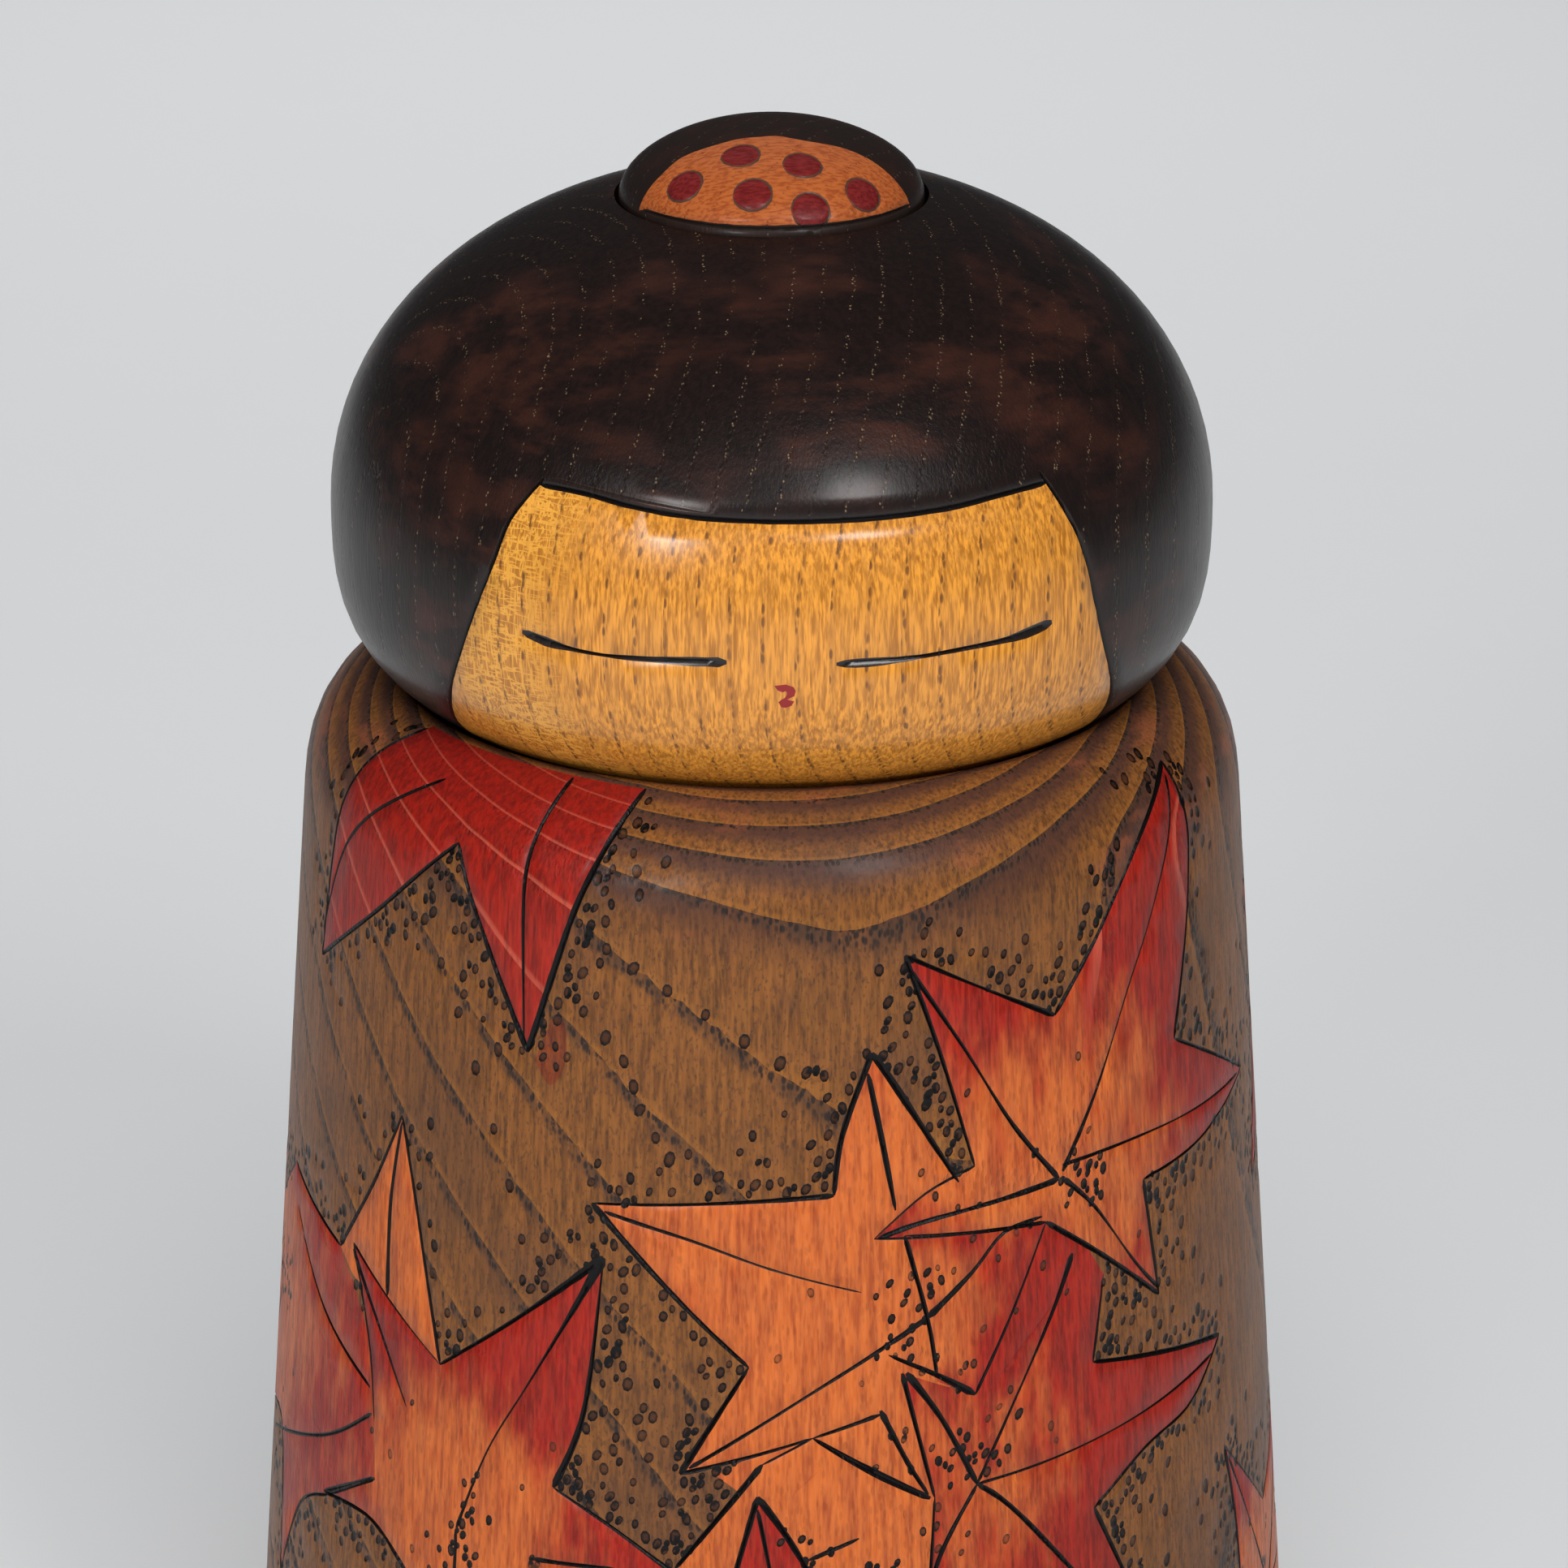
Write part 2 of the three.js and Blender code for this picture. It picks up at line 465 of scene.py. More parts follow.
class Value:
    """A shader socket that can be used in arithmetic."""

    def __init__(self, finish, socket):
        self.finish = finish
        self.socket = socket

    __add__ = __radd__ = math_method("ADD")
    __sub__ = math_method("SUBTRACT")
    __rsub__ = math_method("SUBTRACT", swapped=True)
    __mul__ = __rmul__ = math_method("MULTIPLY")
    __truediv__ = math_method("DIVIDE")
    __pow__ = math_method("POWER")
    larger = math_method("MAXIMUM")
    fraction = math_method("FRACT")
    size = math_method("ABSOLUTE")

    def between(self, low, high):
        """0 below low, 1 above high, and a smooth step from one to the other."""
        node = self.finish.node(
            "ShaderNodeMapRange",
            {"interpolation_type": "SMOOTHSTEP", "clamp": True},
            {"Value": self, "From Min": low, "From Max": high},
        )
        return Value(self.finish, node.outputs[0])


class Finish:
    """A node material under construction. Its lengths are millimetres on the piece."""

    def __init__(self, name):
        self.material = bpy.data.materials.new(name)
        self.material.use_nodes = True
        self.tree = self.material.node_tree
        self.tree.nodes.clear()
        where = self.node("ShaderNodeTexCoord").outputs["Object"]
        self.place = self.vector("SCALE", where, 1 / MM)

    def node(self, kind, settings=None, values=None):
        """Adds a node: first its settings, then its sockets' values or links."""
        node = self.tree.nodes.new(kind)
        for name, setting in (settings or {}).items():
            setattr(node, name, setting)
        if isinstance(values, dict):
            pairs = [(node.inputs[name], value) for name, value in values.items()]
        else:
            pairs = list(zip(node.inputs, values or ()))
        for socket, value in pairs:
            value = getattr(value, "socket", value)
            if isinstance(value, bpy.types.NodeSocket):
                self.tree.links.new(value, socket)
            elif value is not None:
                socket.default_value = value
        return node

    def vector(self, operation, vector, scale):
        node = self.node(
            "ShaderNodeVectorMath", {"operation": operation}, {0: vector, "Scale": scale},
        )
        return node.outputs[0]

    def parts(self, vector):
        split = self.node("ShaderNodeSeparateXYZ", None, {"Vector": vector})
        return [Value(self, out) for out in split.outputs]

    def joined(self, x, y, z):
        return self.node("ShaderNodeCombineXYZ", None, {"X": x, "Y": y, "Z": z}).outputs[0]

    def noise(self, vector, scale, detail=2.0, roughness=0.5):
        node = self.node(
            "ShaderNodeTexNoise", {"noise_dimensions": "3D"},
            {"Vector": vector, "Scale": scale, "Detail": detail, "Roughness": roughness},
        )
        return Value(self, node.outputs[0])

    def cells(self, vector, scale):
        """Distance to the nearest of many scattered points."""
        node = self.node(
            "ShaderNodeTexVoronoi", {"voronoi_dimensions": "3D", "feature": "F1"},
            {"Vector": vector, "Scale": scale, "Randomness": 1.0},
        )
        return Value(self, node.outputs["Distance"])

    def mix(self, share, under, over):
        """Colour under where share is 0, over where it is 1."""
        def colour(value):
            return value if isinstance(value, bpy.types.NodeSocket) else (*value, 1.0)

        node = self.node(
            "ShaderNodeMix", {"data_type": "RGBA", "clamp_factor": True},
            {0: share, 6: colour(under), 7: colour(over)},
        )
        return node.outputs[2]

    def layers(self, under, *layers):
        """A colour with (share, colour) layers over it, one after another."""
        for share, over in layers:
            under = self.mix(share, under, over)
        return under

    def burnt(self, burn, under, low, high, brown, black):
        """Colour under with the burning over it, brown where weak and black where strong."""
        char = self.mix(burn.between(low, high), brown, black)
        return self.mix(burn.between(0.05, 0.6), under, char)

    def paint(self):
        """Stain, red and burn from the corner colours that the drawing left."""
        node = self.node("ShaderNodeAttribute", {"attribute_name": "paint"})
        split = self.node("ShaderNodeSeparateColor", None, {0: node.outputs["Color"]})
        return [Value(self, out) for out in split.outputs]

    def surface(self, colour, roughness, height, relief, coat):
        """Ends the material: relief is the height of a bump of 1, in millimetres."""
        bump = self.node(
            "ShaderNodeBump", None,
            {"Strength": 1.0, "Distance": relief * MM, "Height": height},
        )
        shader = self.node(
            "ShaderNodeBsdfPrincipled", None,
            {
                "Base Color": colour,
                "Roughness": roughness,
                "Normal": bump.outputs[0],
                "Coat Weight": coat,
                "Coat Roughness": 0.22,
                "Specular IOR Level": 0.22,
            },
        )
        self.node("ShaderNodeOutputMaterial", None, {0: shader.outputs[0]})
        return self.material


class Timber:
    """Ring-porous wood: growth rings about a leaning pith, upright grain and lines, broad
    and small mottling. early and late are the dark start and the end of each ring."""

    def __init__(self, finish, pith, ring, lean=(0, 0), level=0, first=0, wander=0.6):
        x, y, z = finish.parts(finish.place)
        self.finish, self.x, self.y, self.z = finish, x, y, z
        drift = (finish.noise(finish.place, 0.06, 2.0) - 0.5) * wander
        self.across = x - ((z - level) * lean[0] + pith[0])
        self.deep = y - ((z - level) * lean[1] + pith[1])
        self.distance = (self.across * self.across + self.deep * self.deep) ** 0.5
        self.age = ((self.distance + drift - first) / ring + 60).fraction()
        self.early = 1 - self.age.between(0.06, 0.2)
        self.late = self.age.between(0.9, 0.97)
        self.grain = finish.noise(self.along(0.1), 4.2, 2.0, 0.6).between(0.34, 0.66)
        self.lines = finish.noise(self.along(0.05), 2.2, 2.0, 0.5).between(0.35, 0.65)
        self.broad = finish.noise(finish.place, 0.07, 3.0)
        self.mottle = finish.noise(self.along(0.4), 0.5, 3.0)

    def along(self, squeeze):
        """The place with its height squeezed, so that what is drawn there runs upright."""
        return self.finish.joined(self.x, self.y, self.z * squeeze)

    def pits(self, scale, squeeze, radius):
        """Upright slots scattered through the wood."""
        cells = self.finish.cells(self.along(squeeze), scale)
        return 1 - cells.between(radius * 0.6, radius * 1.3)


# Colours that show through the stains or under them.
CLOUD = (0.10, 0.045, 0.024)
SHOULDER_SHADE = (0.055, 0.024, 0.022)
RUSSET = (0.3, 0.085, 0.035)
RING_DUSK = (0.06, 0.032, 0.02)
SPECK = (0.07, 0.032, 0.018)
PORE = (0.022, 0.015, 0.013)
ORANGE_STREAK = (0.4, 0.075, 0.018)
RED_STREAK = (0.19, 0.008, 0.005)
ORANGE_SHEEN = (0.85, 0.24, 0.06)
RED_SHEEN = (0.58, 0.05, 0.02)
PINK_RING = (0.62, 0.12, 0.07)
RED_PORE = (0.05, 0.004, 0.003)
# Darker red painted on the leaf stain near the neck: painted shade under the head's chin.
NECK_SHADE_RED = (0.17, 0.007, 0.006)
THIN_RED = (0.06, 0.004, 0.004)
FACE_LINE = (0.6, 0.25, 0.045)
RAY_DARK = (0.42, 0.16, 0.02)
RAY_PALE = (0.9, 0.42, 0.06)
FACE_RING = (0.42, 0.17, 0.03)
FACE_PORE = (0.13, 0.045, 0.012)
HAIR_LINE = (0.022, 0.011, 0.009)
HAIR_PORE = (0.22, 0.14, 0.07)
LIP = (0.27, 0.005, 0.006)
KNOT_BROWN = (0.03, 0.012, 0.009)
KNOT_PORE = (0.16, 0.1, 0.06)
COMB_STREAK = (0.31, 0.065, 0.016)
COMB_PORE = (0.14, 0.035, 0.012)
SPOT_STREAK = (0.12, 0.008, 0.008)
BARE_DARK, BARE_PALE = (0.5, 0.33, 0.17), (0.68, 0.5, 0.3)
BARE_PORE = (0.35, 0.2, 0.09)
PAPER_SHADE = (0.78, 0.79, 0.8)


def torso_finish(settings):
    finish = Finish("stained_torso")
    stain, red, burn = finish.paint()
    wood = Timber(
        finish, pith=(1.9, -8.3), ring=1.84, lean=(-0.156, -0.066), level=95, first=27.9,
        wander=0.5,
    )
    shoulder = wood.z.between(97, 104)
    flecks = wood.pits(2.6, 0.34, 0.32)
    pores = wood.pits(2.5, 0.5, 0.42) * wood.early
    specks = finish.noise(wood.along(0.5), 5.0, 1.0).between(0.58, 0.7)
    crowd = (wood.early * 0.9 + wood.broad * 0.6).larger(0.35)
    holes = (flecks * crowd).larger(pores)
    band = (1 - wood.age.between(0.25, 0.85)) * shoulder
    brushed = finish.noise(finish.joined(wood.x * 0.5, wood.y * 0.5, wood.z * 1.5), 0.28, 3.0)
    ground = finish.layers(
        settings.ground_dark,
        (wood.lines, settings.ground),
        (wood.grain * 0.35, settings.ground_gold),
        (wood.broad.between(0.45, 0.65) * 0.45, CLOUD),
        (wood.late * 0.3, settings.ground_gold),
        (band * 0.8, SHOULDER_SHADE),
        (brushed.between(0.55, 0.7) * shoulder * 0.6, RUSSET),
        (wood.early * wood.mottle.between(0.3, 0.6) * 0.7, RING_DUSK),
        (specks * 0.55, SPECK),
        (holes * 0.9, PORE),
    )

    share = (red + (wood.mottle - 0.5) * 0.9).between(0.25, 0.8)
    warm = finish.mix(wood.lines, ORANGE_STREAK, settings.leaf_orange)
    hot = finish.mix(wood.lines, RED_STREAK, settings.leaf_red)
    sheen = finish.mix(share, ORANGE_SHEEN, RED_SHEEN)
    leaf = finish.layers(
        warm,
        (share, hot),
        (wood.grain * (0.3 - shoulder * 0.15), sheen),
        (wood.late * wood.z.between(88, 98) * 0.6, PINK_RING),
        (flecks * 0.18, RED_PORE),
        # Painted shade: the leaf stain darkens towards the neck, under the head's chin.
        (wood.z.between(102, 111) * 0.55, NECK_SHADE_RED),
        (1 - stain, THIN_RED),
    )

    colour = finish.mix(stain, ground, leaf)
    colour = finish.burnt(
        burn, colour, 0.45, 0.75, brown=(0.05, 0.018, 0.008), black=(0.003, 0.002, 0.002),
    )
    dull = 0.4 + wood.mottle * 0.14 - burn * 0.1
    relief = wood.grain * 0.25 - holes * 0.8
    return finish.surface(colour, dull, relief, 0.05, (1 - burn) * 0.08)


def head_finish(settings):
    finish = Finish("stained_head")
    face, red, burn = finish.paint()
    wood = Timber(finish, pith=(-33, -14), ring=2.1, wander=0.5)
    slots = wood.pits(3.0, 0.34, 0.42)
    pores = slots * wood.early * wood.broad.between(0.3, 0.45)
    along_ray, mesh = ray_fleck(finish, wood)
    skin = finish.layers(
        settings.face_dark,
        (wood.grain, settings.face),
        (wood.lines * 0.4, FACE_LINE),
        (along_ray * 0.55, RAY_DARK),
        (along_ray * mesh * 0.85, RAY_PALE),
        (wood.early * 0.2, FACE_RING),
        (pores * 0.85, FACE_PORE),
    )

    brushed = finish.noise(finish.joined(wood.x * 0.5, wood.y, wood.z * 2), 0.18, 4.0, 0.6)
    rub = wood.broad.between(0.45, 0.6) * brushed.between(0.4, 0.65)
    dots = wood.pits(3.8, 0.6, 0.25) * wood.early
    hair = finish.layers(
        settings.hair,
        (rub * 0.7, settings.hair_worn),
        (wood.lines * 0.3, HAIR_LINE),
        (dots * wood.mottle.between(0.3, 0.6), HAIR_PORE),
    )

    colour = finish.layers(hair, (face, skin), (red, LIP))
    colour = finish.burnt(
        burn, colour, 0.5, 0.95, brown=(0.06, 0.025, 0.012), black=(0.005, 0.004, 0.004),
    )
    dull = 0.34 + wood.mottle * 0.14
    relief = wood.grain * 0.3 - pores * 0.8 - dots * 0.3
    return finish.surface(colour, dull, relief, 0.05, 0.32 + face * 0.35)


def ray_fleck(finish, wood):
    """Where the skin runs along the wood's rays, and the pale mesh that shows there."""
    slant = wood.x * wood.across + wood.y * wood.deep
    reach = ((wood.x * wood.x + wood.y * wood.y) ** 0.5 * wood.distance).larger(1)
    steep = (slant / reach).size()
    bars = finish.noise(finish.joined(wood.x * 0.4, wood.y * 0.4, wood.z * 2.4), 1.1, 1.0)
    gaps = finish.noise(finish.joined(wood.x * 2.6, wood.y * 2.6, wood.z * 0.35), 1.1, 1.0)
    bars, gaps = (1 - (n - 0.5).size().between(0.02, 0.07) for n in (bars, gaps))
    return 1 - steep.between(0.06, 0.22), bars.larger(gaps)


def topknot_finish(settings):
    finish = Finish("stained_topknot")
    stain, red, burn = finish.paint()
    wood = Timber(finish, pith=(-60, 40), ring=1.9, wander=0.3)
    pores = wood.pits(3.6, 0.7, 0.28) * wood.early
    weave = finish.noise(finish.joined(wood.x * 0.6, wood.y * 2, wood.z * 2), 2.4, 2.0)
    dark = finish.layers(
        settings.stain,
        (wood.mottle.between(0.4, 0.7) * 0.6, KNOT_BROWN),
        (pores * 0.5, KNOT_PORE),
    )
    orange = finish.layers(
        COMB_STREAK, (weave.between(0.35, 0.6), settings.ornament), (pores * 0.6, COMB_PORE),
    )
    blot = finish.mix(weave.between(0.3, 0.7), SPOT_STREAK, settings.spots)
    colour = finish.layers(dark, (stain, orange), (red, blot))
    colour = finish.burnt(
        burn, colour, 0.5, 0.95, brown=(0.09, 0.045, 0.03), black=(0.012, 0.008, 0.007),
    )
    dull = 0.4 + wood.mottle * 0.14
    relief = wood.grain * 0.2 - pores * 0.6
    return finish.surface(colour, dull, relief, 0.04, 0.12)


def dowel_finish():
    finish = Finish("bare_dowel")
    wood = Timber(finish, pith=(40, 10), ring=1.6)
    pores = wood.pits(3, 0.3, 0.3) * wood.early
    colour = finish.layers(BARE_DARK, (wood.lines, BARE_PALE), (pores * 0.6, BARE_PORE))
    return finish.surface(colour, 0.62 + wood.mottle * 0.2, wood.grain, 0.05, 0.0)


# ---------------------------------------------------------------- sizes and colours

def colour(name, description, default):
    return FloatVectorProperty(
        name=name, description=description, default=default,
        subtype="COLOR", size=3, min=0, max=1,
    )


def length(name, description, millimetres):
    return FloatProperty(
        name=name, description=description, default=millimetres * MM, unit="LENGTH", min=0,
    )


def number(name, description, default, **more):
    return FloatProperty(name=name, description=description, default=default, **more)


def power(name, description, watts):
    return number(name, description, watts, unit="POWER")


def angle(name, description, degrees):
    return number(name, description, math.radians(degrees), subtype="ANGLE")


class KokeshiTorsoSettings(bpy.types.PropertyGroup):
    foot_radius: length("Foot radius", "Side radius at the foot", 42.3)
    foot_chamfer: length("Foot chamfer", "Width and height of the foot's chamfer", 1.2)
    shoulder_radius: length("Shoulder radius", "Side radius at the shoulder's start", 35.05)
    shoulder_start: length("Shoulder start", "Height where the shoulder starts", 99.2)
    shoulder_rise: length("Shoulder rise", "Height of the shoulder curve", 13.6)
    shoulder_power: number("Shoulder power", "2 is an ellipse, higher squarer", 3.0)
    seat_gap: length("Seat gap", "Clearance between the chin and its dish", 0.3)
    rim_ease: length("Rim ease", "Width taken off each side of the dish rim", 0.4)
    bore_radius: length("Bore radius", "Bore for the neck dowel", 5.3)
    bore_depth: length("Bore depth", "Depth of the bore under the dish", 16.0)
    ground: colour("Ground", "Stained ground, light streaks", (0.23, 0.08, 0.02))
    ground_dark: colour("Ground dark", "Its dark streaks", (0.125, 0.045, 0.013))
    ground_gold: colour("Ground gold", "Where its stain is thin", (0.38, 0.145, 0.026))
    leaf_red: colour("Leaf red", "Red leaf stain", (0.34, 0.011, 0.005))
    leaf_orange: colour("Leaf orange", "Orange leaf stain", (0.62, 0.135, 0.024))
    seed: IntProperty(name="Seed", description="Order of the burnt dots", default=7)


class KokeshiHeadSettings(bpy.types.PropertyGroup):
    equator: length("Equator", "Height of the widest level of the head", 121.5)
    radius: length("Radius", "Widest radius of the head", 32.5)
    crown_rise: length("Crown rise", "Height of the crown above the equator", 24.3)
    crown_power: number("Crown power", "Squareness of the crown", 2.1)
    chin_drop: length("Chin drop", "Depth of the chin below the equator", 16.7)
    chin_power: number("Chin power", "Squareness of the chin", 3.1)
    bore_radius: length("Bore radius", "Bore for the neck dowel", 5.3)
    bore_depth: length("Bore depth", "Depth of the dowel's bore", 14.0)
    recess_radius: length("Recess radius", "Radius of the topknot's recess", 11.4)
    recess_depth: length("Recess depth", "Depth of the topknot's recess", 1.6)
    peg_radius: length("Peg bore radius", "Bore for the topknot's peg", 2.8)
    peg_depth: length("Peg bore depth", "Depth of the peg's bore", 7.0)
    hair: colour("Hair", "Stain of the hair", (0.009, 0.005, 0.0045))
    hair_worn: colour("Worn hair", "Where its stain is rubbed", (0.065, 0.02, 0.012))
    face: colour("Face", "Light streaks of the face", (0.86, 0.345, 0.04))
    face_dark: colour("Face dark", "Dark streaks of the face", (0.4, 0.14, 0.012))
    seed: IntProperty(name="Seed", description="Unevenness of the strokes", default=11)


class KokeshiTopknotSettings(bpy.types.PropertyGroup):
    radius: length("Radius", "Radius of the dome", 11.1)
    rise: length("Rise", "Height of the dome above the recess rim", 5.4)
    power: number("Power", "Squareness of the dome", 1.9)
    ease: length("Ease", "Width taken off the dome's lower edge", 0.5)
    bore_radius: length("Bore radius", "Bore for the peg", 2.8)
    bore_depth: length("Bore depth", "Depth of the peg's bore", 4.0)
    stain: colour("Stain", "Dark stain of the dome", (0.016, 0.01, 0.008))
    ornament: colour("Ornament", "Painted comb", (0.45, 0.115, 0.028))
    spots: colour("Spots", "Dots on the comb", (0.2, 0.018, 0.018))
    seed: IntProperty(name="Seed", description="Unevenness of the strokes", default=5)


class KokeshiStageSettings(bpy.types.PropertyGroup):
    distance: length("Camera distance", "From the camera to its aim", 465.7)
    aim_height: length("Aim height", "Height that the camera looks at", 98.5)
    aim_side: length("Aim side", "How far right of the axis the camera aims", 0.9)
    elevation: angle("Elevation", "Camera angle above level", 21.26)
    turn: angle("Turn", "Camera angle from the front, towards +X", -3.0)
    lens: number("Lens", "Focal length in mm", 142.2)
    floor: colour("Floor", "Colour of the floor", (0.86, 0.87, 0.88))
    soft_lamp: power("Soft lamp", "Power of the lamp overhead", 3.5)
    key_lamp: power("Key lamp", "Power of the lamp at the right", 1.45)
    fill_lamp: power("Fill lamp", "Power of the lamp at the left", 1.2)
    back_lamp: power("Back lamp", "Power of the lamp behind", 1.2)
    floor_lamp: power("Floor lamp", "Power of the lamp over the floor", 3.0)
    sky: number("Sky", "Strength of the surrounding light", 0.05)


class KokeshiSettings(bpy.types.PropertyGroup):
    torso: PointerProperty(type=KokeshiTorsoSettings)
    head: PointerProperty(type=KokeshiHeadSettings)
    topknot: PointerProperty(type=KokeshiTopknotSettings)
    stage: PointerProperty(type=KokeshiStageSettings)


# ---------------------------------------------------------------- torso

def chin_points(head, steps=OUTLINE_STEPS):
    """From the widest level of the head down to the bottom of the chin."""
    curve = quarter(head.radius / MM, head.chin_drop / MM, head.chin_power, steps)
    return [(radius, head.equator / MM - drop) for radius, drop in curve]


def dish_outline(torso, head):
    """The chin's outline moved out by the seat gap, from its edge to the dowel's bore."""
    chin = Turned(chin_points(head, DISH_STEPS))
    gap = torso.seat_gap / MM
    return [
        (radius - gap * out, height - gap * up)
        for radius, height, (out, up) in zip(chin.radii, chin.heights, chin.normals)
    ]


def shoulder_outline(torso):
    """The torso's side and shoulder, from the top of the foot chamfer upwards."""
    foot, start = torso.foot_radius / MM, torso.shoulder_start / MM
    taper = (foot - torso.shoulder_radius / MM) / start

    def side_at(height):
        return foot - taper * height

    levels = np.linspace(torso.foot_chamfer / MM, start, SIDE_STEPS, endpoint=False)
    shoulder = quarter(1, torso.shoulder_rise / MM, torso.shoulder_power)[:-1]
    return [(side_at(level), level) for level in levels] + [
        (side_at(start + rise) * share, start + rise) for share, rise in shoulder
    ]


def side(*places, burn=(0.3, 0.3)):
    """A leaf's edge from its first place to the next side's. burn is the stroke's widths
    in mm from end to end, or None for an edge that is only stained."""
    return places, burn


